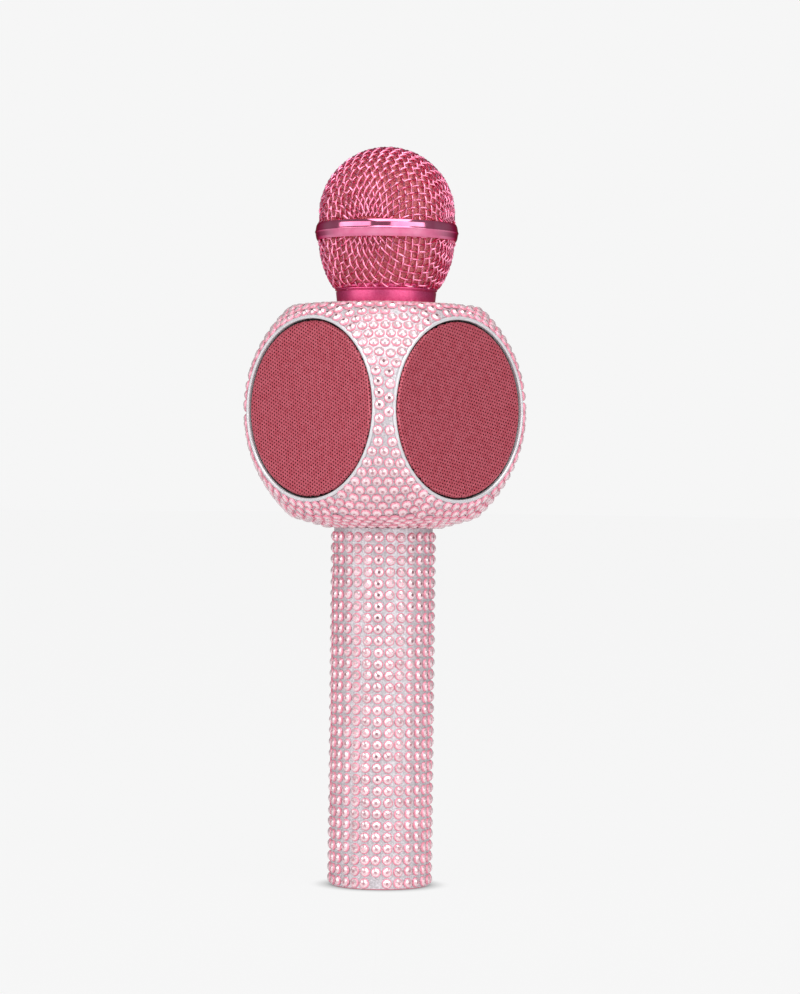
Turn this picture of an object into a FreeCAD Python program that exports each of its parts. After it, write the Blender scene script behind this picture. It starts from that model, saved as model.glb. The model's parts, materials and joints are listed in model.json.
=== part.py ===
"""Karaoke microphone with a built-in loudspeaker head.

A slim tubular handle carries a ball-shaped speaker head with four round grilles, and a wire-mesh windscreen
on top. Handle and head are covered with a sheet of glued stones, drawn here as plain skins of the true
thickness. Millimetres, +Z up, origin at the middle of the base the microphone stands on. The control panel
faces -Y, the loudspeakers face +X and -X, and the passive bass radiators face +Y and -Y.
"""
import FreeCAD, Part

import math
import os

Vector = FreeCAD.Vector
UP = Vector(0, 0, 1)

# ---------------------------------------------------------------- driving dimensions
total_height = 265.0
handle_outer_radius = 18.9       # over the stones
stone_layer = 1.4                # backing foil and stones together
handle_top = 128.2               # where the stones of the handle meet the head
tube_top = handle_top - 0.4
head_centre_z = 170.0
head_outer_radius = 50.9         # over the stones
windscreen_radius = 24.6         # over the wires
windscreen_band_radius = 25.9

# handle tube
tube_radius = handle_outer_radius - stone_layer
tube_wall = 1.8
tube_bore_radius = tube_radius - tube_wall
cap_flange_thickness = 3.0
wrap_bottom = 0.4
cap_screw_x = (-8.5, 8.5)
cap_screw_y = 7.0

# control panel, a window in the -Y side of the tube
panel_centre_z = 70.0
panel_window = (20.6, 99.0)      # width, height of the rounded window in the tube
panel_flange = (22.2, 100.8)
panel_inner_radius = 15.9
panel_outer_radius = 18.5
key_proud = 0.7
button_travel = 0.6
rocker_size = (8.0, 16.0)
key_gap = 0.3                    # between a round key and its opening
key_lip = 0.6                    # how far a key's rim reaches behind the panel
rocker_gap = (0.3, 0.5)          # clearance across and along the rocker
rocker_dish_radius = 40.0
rocker_pivot_y = -14.9
rocker_pin_radius = 0.8
rocker_throw = 5.6                # from the pin to each switch
play_button = (4.6, 108.0)       # radius, height above the base
mode_button = (3.4, 38.5)
power_button = (4.1, 27.5)
rocker_heights = (93.0, 74.0, 55.0)
lens_radius = 1.2
lens_z = 116.2

# electronics in the handle
board_size = (22.4, 1.6, 112.0)
board_front_y = -10.6
board_bottom = 3.4
cell_radius = 9.15
cell_length = 65.0
cell_centre_y = 4.2
cell_bottom = 38.0
tray_span = (8.2, 114.0)
tray_wall = 1.4
bulkheads = (8.2, 34.0, 70.0, 105.2)
bulkhead_thickness = 1.8

lead_radius = 0.7

# ports in the end cap
jack_bore_radius = 1.8
jack_x = -6.6
jack_length = 12.0
jack_half_width = 3.0
port_bottom = 1.0                # how far the sockets stand behind the base
usb_x = 6.0
usb_size = (7.5, 2.6, 5.6)
card_socket_size = (14.0, 1.8, 15.0)

# speaker head
head_radius = head_outer_radius - stone_layer
head_half_height = 37.3          # flat to flat, like the four side faces
head_wall = 2.2
head_corner_round = 3.0
head_top_rise = 1.2              # the cones above and below the ball, where they meet the axis
head_bottom_drop = 9.3
top_slope = math.radians(4.0)
underside_slope = math.radians(16.0)
bezel_radius = 33.0
bezel_inner_radius = 31.5
bezel_face = 37.7                # distance of the bezel's front from the axis
bezel_back = 34.0
bezel_step = 35.2                # the ledge that carries the felt and the grille
bezel_step_width = 1.6
baffle_front = 34.0
baffle_back = 32.0
baffle_hole_radius = 21.5
grille_radius = 31.0
grille_face = 37.4
grille_thickness = 0.6
grille_bend = 1.2                # outer radius of its rolled edge
felt_front = 36.6
felt_thickness = 0.3
felt_rim_top = 36.4
boss_offset = 28.3               # of the four assembly screws, along X and along Y
boss_radius = 3.8
boss_reach = (-40.0, 22.0)       # below and above the head's centre
rib_thickness = 1.2              # of the webs between the bosses and the wall
head_screw_seat = 154.0
head_screw_radius = 1.2
lap_thickness = 0.95             # of the lip inside the joint between the two shells
lap_height = 1.5

# loudspeakers and radiators, by radius about their own axis and by distance from the head's axis
frame_radius = 24.0
frame_rim_inner = 21.4
frame_rim_back = 30.4
roll_seat = 31.2                 # the ledge that the suspension is glued to
roll_base = 31.25
roll_centre_radius = 19.0
roll_radius = 1.3
roll_wall = 0.4
roll_inner_radius = 16.7
roll_outer_radius = 21.3
basket_wall = 1.0
basket_mouth_radius = 20.0
basket_throat_radius = 11.8
basket_window_width = 10.0
basket_window_top = 28.2
magnet_radius = 15.0
magnet_bore = 7.6
magnet_back = 10.0
magnet_front = 18.4
back_plate = (13.6, 1.6)         # radius, thickness
top_plate = (13.0, 6.4, 1.4)     # radius, bore, thickness
pole = (4.6, 20.0)               # radius, front
coil_radius = 5.7
coil_wall = 0.6
coil_back = 14.2
cone_throat = 22.6
cone_wall = 0.5
cone_radius = 17.6
dust_cap = (6.9, 23.3, 2.6)      # radius, where its edge sits, rise
radiator_depth = 3.8
plate_radius = 14.4
plate_drop = 0.9                 # from the plate's rim to its middle
plate_thickness = 0.6
weight_radius = 9.0
weight_thickness = 2.3

# neck that the windscreen screws onto
neck_radius = 16.5
neck_bore_radius = 14.5
neck_top = 212.6
neck_flange = (21.0, 2.0)        # radius, thickness
neck_flange_top = 204.8
neck_screw_circle = 18.9
neck_screw_angles = (30, 150, 270)
cradle_base_z = 208.0
cradle_floor_z = 216.0
cradle_top_z = 226.0
cradle_radius = 10.2
cradle_bore = 9.0
capsule_radius = 7.7
capsule_bottom = 218.4
capsule_front = 227.6
collar_bottom_z = 207.7
collar_top_z = 213.4
collar_bottom_radius = 17.5
collar_top_radius = 18.1
collar_bore_radius = 16.8

# windscreen
mesh_thickness = 1.4
mesh_lip_radius = 19.4
mesh_tuck = 1.0                  # how far each basket reaches into the band
band_centre_z = 234.0
band_half_height = 3.1
dome_centre_z = total_height - windscreen_radius
foam_thickness = 2.6
foam_gap = 0.3

FACES = {"right": 0, "back": 90, "left": 180, "front": 270}


# ---------------------------------------------------------------- helpers
def cylinder(radius, bottom, top, x=0.0, y=0.0):
    return Part.makeCylinder(radius, top - bottom, Vector(x, y, bottom))


def ring(outer, inner, bottom, top, x=0.0, y=0.0):
    return cylinder(outer, bottom, top, x, y).cut(cylinder(inner, bottom - 1, top + 1, x, y))


def block(x0, x1, y0, y1, z0, z1):
    return Part.makeBox(x1 - x0, y1 - y0, z1 - z0, Vector(x0, y0, z0))


def point(radius, z):
    """A point of a profile that turns about the Z axis."""
    return Vector(radius, 0, z)


def line(a, b):
    return Part.makeLine(a, b)


def arc(a, middle, b):
    return Part.Arc(a, middle, b).toShape()


def turned(edges):
    """A solid of revolution about Z from the edges of a closed profile."""
    wire = Part.Wire(Part.__sortEdges__(edges))
    return Part.Face(wire).revolve(Vector(0, 0, 0), UP, 360)


def turned_polygon(points):
    corners = [point(*p) for p in points]
    return turned([line(a, b) for a, b in zip(corners, corners[1:] + corners[:1])])


def crown(edge_radius, edge_z, top_z):
    """The arc from a dome's edge to its top on the axis."""
    rise = top_z - edge_z
    radius = (edge_radius ** 2 + rise ** 2) / (2 * rise)
    half = math.asin(edge_radius / radius) / 2
    middle = point(radius * math.sin(half), top_z - radius * (1 - math.cos(half)))
    return arc(point(edge_radius, edge_z), middle, point(0, top_z))


def fuse(shapes):
    shapes = list(shapes)
    joined = shapes[0]
    for shape in shapes[1:]:
        joined = joined.fuse(shape)
    return joined.removeSplitter()


def circle_edges(shape, radius, z):
    """The circular edges of that radius, about Z, at that height."""
    found = []
    for edge in shape.Edges:
        curve = edge.Curve
        if isinstance(curve, Part.Circle) and abs(curve.Radius - radius) < 0.05:
            if abs(curve.Center.z - z) < 0.05 and math.hypot(curve.Center.x, curve.Center.y) < 0.05:
                found.append(edge)
    return found


def along_face(shape, angle):
    """Takes a shape modelled about Z, with its face at z = distance, and points it out of the head."""
    placed = shape.copy()
    placed.rotate(Vector(0, 0, 0), Vector(0, 1, 0), 90)
    placed.translate(Vector(0, 0, head_centre_z))
    placed.rotate(Vector(0, 0, 0), UP, angle)
    return placed


def rounded_slot(width, height, centre_z, y0, y1):
    """A bar along Y whose outline is a slot with round ends."""
    half = width / 2
    straight = height / 2 - half
    low, high = centre_z - straight, centre_z + straight
    edges = [
        line(Vector(-half, y0, low), Vector(-half, y0, high)),
        arc(Vector(-half, y0, high), Vector(0, y0, high + half), Vector(half, y0, high)),
        line(Vector(half, y0, high), Vector(half, y0, low)),
        arc(Vector(half, y0, low), Vector(0, y0, low - half), Vector(-half, y0, low)),
    ]
    return Part.Face(Part.Wire(edges)).extrude(Vector(0, y1 - y0, 0))


def bar(radius, y0, y1, x, z):
    """A round bar along Y."""
    return Part.makeCylinder(radius, y1 - y0, Vector(x, y0, z), Vector(0, 1, 0))


def cable(points, radius):
    """A round cable of straight runs joined by tangent arcs, each as large as its two runs allow."""
    edges = []
    start = points[0]
    for before, corner, after in zip(points, points[1:], points[2:]):
        inward = (before - corner).normalize()
        onward = (after - corner).normalize()
        half_turn = (math.pi - inward.getAngle(onward)) / 2
        set_back = 0.45 * min((before - corner).Length, (after - corner).Length)
        bend = set_back / math.tan(half_turn)
        bisector = (inward + onward).normalize()
        centre = corner + bisector * (bend / math.cos(half_turn))
        first, last = corner + inward * set_back, corner + onward * set_back
        edges.append(line(start, first))
        edges.append(arc(first, centre - bisector * bend, last))
        start = last
    edges.append(line(start, points[-1]))
    path = Part.Wire(edges)
    along = (points[1] - points[0]).normalize()
    section = Part.Wire(Part.makeCircle(radius, points[0], along))
    return path.makePipeShell([section], True, False)


# ---------------------------------------------------------------- speaker head
def head_solid(grow):
    """The head's outer form grown by a distance: a ball cut flat above and sloped below, with round edges."""
    radius = head_radius + grow
    top_axis = head_centre_z + head_half_height + head_top_rise + grow / math.cos(top_slope)
    low_axis = head_centre_z - head_half_height - head_bottom_drop - grow / math.cos(underside_slope)

    def crossing(axis_z, slope):
        """Where a cone through (0, axis_z) meets the ball."""
        drop = axis_z - head_centre_z
        tangent = math.tan(slope)
        a = 1 + tangent ** 2
        b = 2 * drop * tangent
        c = drop ** 2 - radius ** 2
        r = (-b + math.sqrt(b ** 2 - 4 * a * c)) / (2 * a)
        return point(r, axis_z + r * tangent)

    upper = crossing(top_axis, -top_slope)
    lower = crossing(low_axis, underside_slope)
    solid = turned([
        line(point(0, low_axis), lower),
        arc(lower, point(radius, head_centre_z), upper),
        line(upper, point(0, top_axis)),
        line(point(0, top_axis), point(0, low_axis)),
    ])
    edges = circle_edges(solid, upper.x, upper.z) + circle_edges(solid, lower.x, lower.z)
    return solid.makeFillet(head_corner_round + grow, edges)


def face_bores(radius, depth=60.0, start=10.0):
    """Four round bars that open the head's side faces."""
    return [along_face(cylinder(radius, start, depth), angle) for angle in FACES.values()]


def head_posts():
    """Four screw posts, each with a web that ties it to the wall behind it."""
    low, high = head_centre_z + boss_reach[0], head_centre_z + boss_reach[1]
    made = []
    for turn in (45, 135, 225, 315):
        a = math.radians(turn)
        reach = boss_offset * math.sqrt(2)
        post = cylinder(boss_radius, low, high, reach * math.cos(a), reach * math.sin(a))
        web = block(reach, head_radius, -rib_thickness / 2, rib_thickness / 2, low, high)
        web.rotate(Vector(0, 0, 0), UP, turn)
        made.append(post.fuse(web))
    return made


def head_cage():
    """The moulded head before it is split: outer wall, four baffles, four screw posts and a handle spigot."""
    wall = head_solid(0).cut(head_solid(-head_wall))
    inside = head_solid(-0.5)
    baffles = [along_face(cylinder(bezel_radius + 2, baffle_back, baffle_front), a) for a in FACES.values()]
    fittings = [shape.common(inside) for shape in baffles + head_posts()]
    spigot = cylinder(tube_bore_radius - 0.1, handle_top - 8.5, handle_top + 6)
    cage = fuse([wall] + fittings + [spigot])
    cage = cage.cut(cylinder(tube_bore_radius - 2.6, handle_top - 10, handle_top + 20))
    cage = cage.cut(cylinder(neck_radius + 0.1, head_centre_z + 20, head_centre_z + 60))
    for bore in face_bores(bezel_radius, start=baffle_front):
        cage = cage.cut(bore)
    for bore in face_bores(baffle_hole_radius, depth=baffle_front + 1, start=baffle_back - 1):
        cage = cage.cut(bore)
    return cage


def boss_centres():
    return [(x, y) for x in (boss_offset, -boss_offset) for y in (boss_offset, -boss_offset)]


def lap_ring(spare):
    """The lip that stands up inside the joint, on the four bridges between the grilles."""
    inner = head_radius - head_wall
    ring_shape = ring(inner + lap_thickness + spare, inner - 1, head_centre_z - 1,
                      head_centre_z + lap_height + spare)
    for bore in face_bores(bezel_radius - spare):
        ring_shape = ring_shape.cut(bore)
    return ring_shape


def head_shells():
    """The cage split across its middle with a lap joint, bored from below for the four long screws."""
    cage = head_cage()
    for x, y in boss_centres():
        cage = cage.cut(cylinder(head_screw_radius + 0.1, 130, head_centre_z + 16, x, y))
        cage = cage.cut(cylinder(2.6, 120, head_screw_seat, x, y))
    lip = cage.common(lap_ring(0)).common(block(-60, 60, -60, 60, head_centre_z, 220))
    for x, y in boss_centres():
        lip = lip.cut(cylinder(head_radius - math.hypot(x, y) - head_wall, 150, 180, x, y))
    upper = cage.common(block(-60, 60, -60, 60, head_centre_z, 220)).cut(lap_ring(0.05))
    lower = fuse([cage.common(block(-60, 60, -60, 60, 110, head_centre_z)), lip])
    return upper, lower


def head_screws():
    made = []
    for x, y in boss_centres():
        head = cylinder(2.3, head_screw_seat - 2, head_screw_seat, x, y)
        shank = cylinder(head_screw_radius, head_screw_seat, head_centre_z + 14, x, y)
        socket = cylinder(0.9, head_screw_seat - 3, head_screw_seat - 0.9, x, y)
        made.append(fuse([head, shank]).cut(socket))
    return made


def head_stone_skin():
    skin = head_solid(stone_layer).cut(head_solid(0))
    for bore in face_bores(bezel_radius + 0.1):
        skin = skin.cut(bore)
    skin = skin.cut(cylinder(collar_top_radius, head_centre_z + 20, 220))
    return skin.cut(cylinder(handle_outer_radius + 0.1, 110, head_centre_z - 20))


def bezel(angle):
    """The pale rim round a grille: a turned ring with a rounded face and a step that carries the grille."""
    profile = turned_polygon([
        (bezel_inner_radius - bezel_step_width, bezel_back),
        (bezel_radius - 0.05, bezel_back),
        (bezel_radius - 0.05, bezel_face - 0.5),
        (bezel_radius - 0.55, bezel_face),
        (bezel_inner_radius + 0.35, bezel_face),
        (bezel_inner_radius, bezel_face - 0.35),
        (bezel_inner_radius, bezel_step),
        (bezel_inner_radius - bezel_step_width, bezel_step),
    ])
    return along_face(profile, angle)


def grille(angle):
    """A pressed disc of perforated sheet: a flat face with a rolled edge that stands in the felt's rim."""
    t = grille_thickness
    r, face, back = grille_radius, grille_face, bezel_step + 0.35
    bend = grille_bend
    q = math.sqrt(0.5)
    dish = turned([
        line(point(0, face), point(r - bend, face)),
        arc(point(r - bend, face), point(r - bend + bend * q, face - bend + bend * q), point(r, face - bend)),
        line(point(r, face - bend), point(r, back)),
        line(point(r, back), point(r - t, back)),
        line(point(r - t, back), point(r - t, face - bend)),
        arc(point(r - t, face - bend), point(r - bend + (bend - t) * q, face - bend + (bend - t) * q),
            point(r - bend, face - t)),
        line(point(r - bend, face - t), point(0, face - t)),
        line(point(0, face - t), point(0, face)),
    ])
    return along_face(dish, angle)


def felt_screen(angle):
    """A pressed felt disc behind a grille, with a rim that fills the gap round the grille's edge."""
    rim = bezel_inner_radius - 0.05
    trough = grille_radius - grille_thickness - 0.1
    return along_face(turned_polygon([
        (0, felt_front - felt_thickness),
        (trough - 0.4, felt_front - felt_thickness),
        (trough - 0.4, bezel_step + 0.05),
        (rim, bezel_step + 0.05),
        (rim, felt_rim_top),
        (grille_radius + 0.05, felt_rim_top),
        (grille_radius + 0.05, bezel_step + 0.35),
        (trough, bezel_step + 0.35),
        (trough, felt_front - felt_thickness),
        (trough - 0.4, felt_front),
        (0, felt_front),
    ]), angle)


# ---------------------------------------------------------------- loudspeakers and radiators
def speaker_basket(angle):
    """A pressed steel basket with a flat rim, four windows in its cone and a seat for the magnet."""
    seat = magnet_front
    body = turned_polygon([
        (frame_radius, frame_rim_back), (frame_radius, baffle_back), (frame_rim_inner, baffle_back),
        (frame_rim_inner, roll_seat), (basket_mouth_radius, roll_seat),
        (basket_throat_radius, seat + basket_wall), (magnet_bore, seat + basket_wall), (magnet_bore, seat),
        (basket_throat_radius + 0.8, seat), (basket_mouth_radius + 1.0, frame_rim_back),
    ])
    half = basket_window_width / 2
    for turn in (45, 135, 225, 315):
        window = block(basket_throat_radius + 1.7, basket_mouth_radius, -half, half,
                       seat - 1.4, basket_window_top)
        window.rotate(Vector(0, 0, 0), UP, turn)
        body = body.cut(window)
    return along_face(body, angle)


def speaker_magnet(angle):
    """Ring magnet between two plates, with the pole that the voice coil slides over."""
    radius, thickness = back_plate
    behind = magnet_back + thickness
    outer, bore, front_thickness = top_plate
    before = magnet_front - front_thickness
    return along_face(fuse([
        cylinder(radius, magnet_back, behind),
        ring(magnet_radius, magnet_bore, behind, before),
        ring(outer, bore, before, magnet_front),
        cylinder(pole[0], magnet_back, pole[1]),
    ]), angle)


def speaker_cone(angle):
    """Paper cone with its dust cap and voice-coil former."""
    bore = coil_radius - coil_wall
    cone = turned_polygon([
        (cone_radius, roll_seat), (cone_radius - 1.0, roll_seat), (coil_radius + 0.2, cone_throat),
        (bore, cone_throat), (bore, coil_back), (coil_radius, coil_back), (coil_radius, cone_throat - 0.7),
        (cone_radius - 0.6, roll_seat - cone_wall), (cone_radius, roll_seat - cone_wall),
    ])
    r, edge, rise = dust_cap
    inner_edge = point(r - cone_wall, edge - 0.3)
    top = edge + rise
    cap = turned([
        line(inner_edge, point(r, edge)),
        crown(r, edge, top),
        line(point(0, top), point(0, top - cone_wall)),
        crown(inner_edge.x, inner_edge.z, top - cone_wall),
    ])
    return along_face(fuse([cone, cap]), angle)


def roll_surround(angle):
    """A half-roll rubber suspension between the moving part and the frame, glued flat to both."""
    mid, half, t = roll_centre_radius, roll_radius, roll_wall
    base = roll_base
    spread = half + t * 0.3
    inner, outer = roll_inner_radius, roll_outer_radius
    edges = [
        line(point(inner, base), point(mid - half, base)),
        arc(point(mid - half, base), point(mid, base + half), point(mid + half, base)),
        line(point(mid + half, base), point(outer, base)),
        line(point(outer, base), point(outer, base + t)),
        line(point(outer, base + t), point(mid + spread, base + t)),
        arc(point(mid + spread, base + t), point(mid, base + half + t), point(mid - spread, base + t)),
        line(point(mid - spread, base + t), point(inner, base + t)),
        line(point(inner, base + t), point(inner, base)),
    ]
    return along_face(turned(edges), angle)


def radiator_frame(angle):
    skirt = frame_rim_inner - 1.0
    return along_face(turned_polygon([
        (frame_radius, frame_rim_back), (frame_radius, baffle_back), (frame_rim_inner, baffle_back),
        (frame_rim_inner, roll_seat), (skirt, roll_seat), (skirt, frame_rim_back - radiator_depth),
        (frame_rim_inner, frame_rim_back - radiator_depth), (frame_rim_inner, frame_rim_back),
    ]), angle)


def radiator_plate(angle):
    """The passive radiator's dished plate with its round tuning weight behind."""
    r, t = plate_radius, plate_thickness
    face = roll_seat - plate_drop
    plate = turned_polygon([
        (0, face), (r, face), (r + 2.0, roll_seat), (cone_radius, roll_seat), (cone_radius, roll_seat - t),
        (r + 2.2, roll_seat - t), (r + 0.2, face - t), (0, face - t),
    ])
    back = face - t - weight_thickness
    weight = turned_polygon([
        (0, back), (weight_radius - 0.6, back), (weight_radius, back + 0.6), (weight_radius, face - t),
        (0, face - t),
    ])
    return along_face(fuse([plate, weight]), angle)


# ---------------------------------------------------------------- neck, capsule and windscreen
def neck():
    """The threaded neck, held from inside by a flange with three screw holes."""
    radius, thickness = neck_flange
    foot = neck_flange_top - thickness
    body = fuse([
        ring(radius, neck_bore_radius, foot, neck_flange_top),
        ring(neck_radius, neck_bore_radius, foot, neck_top),
    ])
    for x, y in neck_screw_spots():
        body = body.cut(cylinder(1.1, foot - 1, neck_flange_top + 1, x, y))
    return body


def neck_screw_spots():
    turns = [math.radians(angle) for angle in neck_screw_angles]
    return [(neck_screw_circle * math.cos(a), neck_screw_circle * math.sin(a)) for a in turns]


def neck_screws():
    foot = neck_flange_top - neck_flange[1]
    made = []
    for x, y in neck_screw_spots():
        head = cylinder(1.9, foot - 1.4, foot, x, y)
        made.append(head.fuse(cylinder(1.0, foot, neck_flange_top + 0.1, x, y)))
    return made


def capsule_cradle():
    """The plastic cup that holds the capsule over the neck, on four legs that let sound and air past."""
    base_top = cradle_base_z + 2.0
    floor_top = cradle_floor_z + 1.2
    base = ring(neck_bore_radius - 0.05, 4.0, cradle_base_z, base_top)
    cup = ring(cradle_radius, cradle_bore, cradle_floor_z, cradle_top_z)
    floor = ring(cradle_radius, 3.0, cradle_floor_z, floor_top)
    legs = []
    for angle in (45, 135, 225, 315):
        leg = block(cradle_radius - 1.8, cradle_radius + 0.2, -1.2, 1.2, base_top, cradle_floor_z + 0.6)
        leg.rotate(Vector(0, 0, 0), UP, angle)
        legs.append(leg)
    return fuse([base, cup, floor] + legs)


def capsule_gasket():
    """The rubber sleeve that holds the capsule in its cup and turns in over the capsule's shoulder."""
    bore, outer = capsule_radius + 0.1, cradle_bore - 0.05
    low, lip, top = cradle_floor_z + 1.2, cradle_top_z + 0.4, cradle_top_z + 1.4
    return turned_polygon([
        (bore, low), (outer, low), (outer, lip), (cradle_radius - 0.3, lip), (cradle_radius - 0.3, top),
        (capsule_radius - 0.7, top), (capsule_radius - 0.7, lip - 0.2), (bore, lip - 0.2),
    ])


def capsule():
    """Electret capsule: a deep-drawn can with a stepped front and a ring of sound holes."""
    r, low, front = capsule_radius, capsule_bottom, capsule_front
    shoulder, nose = front - 1.5, r - 0.9
    can = turned_polygon([
        (0, low), (r - 0.5, low), (r, low + 0.5), (r, shoulder), (nose, shoulder), (nose, front - 0.6),
        (nose - 0.6, front), (0, front),
    ])
    holes = [(0, 0)] + [(3.6 * math.cos(math.radians(t)), 3.6 * math.sin(math.radians(t)))
                        for t in range(0, 360, 60)]
    for x, y in holes:
        can = can.cut(cylinder(0.6, front - 1, front + 1, x, y))
    return can


def windscreen_collar():
    """The satin ring at the foot of the windscreen, threaded inside, slightly wider at its top."""
    return turned_polygon([
        (collar_bore_radius, collar_bottom_z),
        (collar_bottom_radius - 0.3, collar_bottom_z),
        (collar_bottom_radius, collar_bottom_z + 0.3),
        (collar_top_radius, collar_top_z - 0.4),
        (collar_top_radius - 0.4, collar_top_z),
        (collar_bore_radius, collar_top_z),
    ])


def cup_profile(offset):
    """Foot, shoulder and top of the lower basket's curve, moved inwards by offset."""
    lip = point(mesh_lip_radius - offset, collar_top_z + 1.0)
    top = point(windscreen_radius - offset, band_centre_z - band_half_height + mesh_tuck)
    rise = top.z - lip.z
    belly = (rise ** 2 + (top.x - lip.x) ** 2) / (2 * (top.x - lip.x))
    half = math.asin(rise / belly) / 2
    middle = point(top.x - belly + belly * math.cos(half), top.z - belly * math.sin(half))
    return lip, middle, top


def windscreen_cup():
    """Lower basket: a barrel of wire mesh whose foot turns in and sits on the collar."""
    lip, middle, top = cup_profile(0)
    lip_in, middle_in, top_in = cup_profile(mesh_thickness)
    foot_out, foot_in = point(lip.x - 0.9, collar_top_z), point(collar_bore_radius + 0.1, collar_top_z)
    return turned([
        line(foot_in, foot_out),
        line(foot_out, lip),
        arc(lip, middle, top),
        line(top, top_in),
        arc(top_in, middle_in, lip_in),
        line(lip_in, point(foot_in.x, collar_top_z + 0.8)),
        line(point(foot_in.x, collar_top_z + 0.8), foot_in),
    ])


def windscreen_dome():
    """Upper basket: a half ball of wire mesh on a short upright wall."""
    r, t = windscreen_radius, mesh_thickness
    foot = band_centre_z + band_half_height - mesh_tuck
    z, q = dome_centre_z, math.sqrt(0.5)
    return turned([
        line(point(r - t, foot), point(r, foot)),
        line(point(r, foot), point(r, z)),
        arc(point(r, z), point(r * q, z + r * q), point(0, z + r)),
        line(point(0, z + r), point(0, z + r - t)),
        arc(point(0, z + r - t), point((r - t) * q, z + (r - t) * q), point(r - t, z)),
        line(point(r - t, z), point(r - t, foot)),
    ])


def windscreen_band():
    """The bright band that clamps both baskets: a pressed ring with a ridge round its middle."""
    z, h, r = band_centre_z, band_half_height, windscreen_band_radius
    inner = windscreen_radius + 0.02
    waist = windscreen_radius - mesh_thickness + 0.3
    shelf = h - mesh_tuck - 0.02
    edge = inner + 0.35
    return turned([
        line(point(inner, z - h), point(edge, z - h)),
        arc(point(edge, z - h), point(r - 0.35, z - h * 0.45), point(r, z)),
        arc(point(r, z), point(r - 0.35, z + h * 0.45), point(edge, z + h)),
        line(point(edge, z + h), point(inner, z + h)),
        line(point(inner, z + h), point(inner, z + shelf)),
        line(point(inner, z + shelf), point(waist, z + shelf)),
        line(point(waist, z + shelf), point(waist, z - shelf)),
        line(point(waist, z - shelf), point(inner, z - shelf)),
        line(point(inner, z - shelf), point(inner, z - h)),
    ])


def foam_liner():
    """Open-cell foam that lines the whole windscreen."""
    shrink = mesh_thickness + foam_gap
    r_out, r_in = windscreen_radius - shrink, windscreen_radius - shrink - foam_thickness
    q, z = math.sqrt(0.5), dome_centre_z
    lip, middle, top = cup_profile(shrink)
    lip_in, middle_in, top_in = cup_profile(shrink + foam_thickness)
    foot_z = collar_top_z + 1.3
    return turned([
        line(point(lip_in.x, foot_z), point(lip.x - 0.1, foot_z)),
        line(point(lip.x - 0.1, foot_z), lip + Vector(0, 0, 0.6)),
        arc(lip + Vector(0, 0, 0.6), middle, top),
        line(top, point(r_out, z)),
        arc(point(r_out, z), point(r_out * q, z + r_out * q), point(0, z + r_out)),
        line(point(0, z + r_out), point(0, z + r_in)),
        arc(point(0, z + r_in), point(r_in * q, z + r_in * q), point(r_in, z)),
        line(point(r_in, z), top_in),
        arc(top_in, middle_in, lip_in + Vector(0, 0, 0.6)),
        line(lip_in + Vector(0, 0, 0.6), point(lip_in.x, foot_z)),
    ])


# ---------------------------------------------------------------- handle
def handle_tube():
    tube = ring(tube_radius, tube_bore_radius, cap_flange_thickness, tube_top)
    window = rounded_slot(*panel_window, panel_centre_z, -30, 0)
    tube = tube.cut(window)
    for angle in (90, 210, 330):
        tube = tube.cut(spigot_screw_bar(1.3, 8.0, angle))
    return tube


def spigot_screw_bar(radius, length, angle):
    """A radial bar through the tube and the head's spigot."""
    a = math.radians(angle)
    out = Vector(math.cos(a), math.sin(a), 0)
    start = out * (tube_radius + 0.1 - length) + Vector(0, 0, handle_top - 4.0)
    return Part.makeCylinder(radius, length, start, out)


def handle_stone_wrap():
    wrap = ring(handle_outer_radius, tube_radius, wrap_bottom, handle_top)
    return wrap.cut(rounded_slot(panel_flange[0] + 0.4, panel_flange[1] + 0.4, panel_centre_z, -30, 0))


def end_cap():
    """Base cap: a flange the microphone stands on, a plug inside the tube, and the port openings."""
    flange = cylinder(tube_radius, 0, cap_flange_thickness)
    flange = flange.makeFillet(0.5, circle_edges(flange, tube_radius, 0))
    plug = ring(tube_bore_radius - 0.05, tube_bore_radius - 1.6, cap_flange_thickness, 8.0)
    plug = plug.cut(block(-12, 12, -20, board_front_y + 2, cap_flange_thickness, 10))
    cap = fuse([flange, plug])
    cap = cap.cut(ring(15.2, 14.5, -1, 0.4))
    cap = cap.cut(cylinder(3.3, -1, 4, jack_x, jack_y()))
    cap = cap.cut(block(usb_x - 4.2, usb_x + 4.2, usb_y() - 1.7, usb_y() + 1.7, -1, 4))
    cap = cap.cut(block(-6.2, 6.2, card_y() - 0.8, card_y() + 0.8, -1, 4))
    for x in cap_screw_x:
        cap = cap.cut(cylinder(1.3, -1, 4, x, cap_screw_y)).cut(cylinder(2.2, -1, 1.8, x, cap_screw_y))
    return cap


def end_cap_screws():
    return [
        fuse([cylinder(2.0, 0.7, 1.8, x, cap_screw_y), cylinder(1.2, 1.8, 11.0, x, cap_screw_y)])
        .cut(cylinder(0.8, 0, 1.3, x, cap_screw_y))
        for x in cap_screw_x
    ]


def jack_y():
    return board_front_y + board_size[1] + 2.7


def usb_y():
    return board_front_y + board_size[1] + usb_size[1] / 2


def card_y():
    return board_front_y - card_socket_size[1] / 2


def headphone_jack():
    board_back = board_front_y + board_size[1]
    left, right = jack_x - jack_half_width, jack_x + jack_half_width
    body = block(left, right, board_back, jack_y() + 2.5, board_bottom, port_bottom + jack_length)
    nose = cylinder(jack_half_width, port_bottom, board_bottom + 0.2, jack_x, jack_y())
    nose = nose.common(block(left, right, board_back, jack_y() + 4, 0, 5))
    return fuse([body, nose]).cut(cylinder(jack_bore_radius, 0, jack_length, jack_x, jack_y()))


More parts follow.
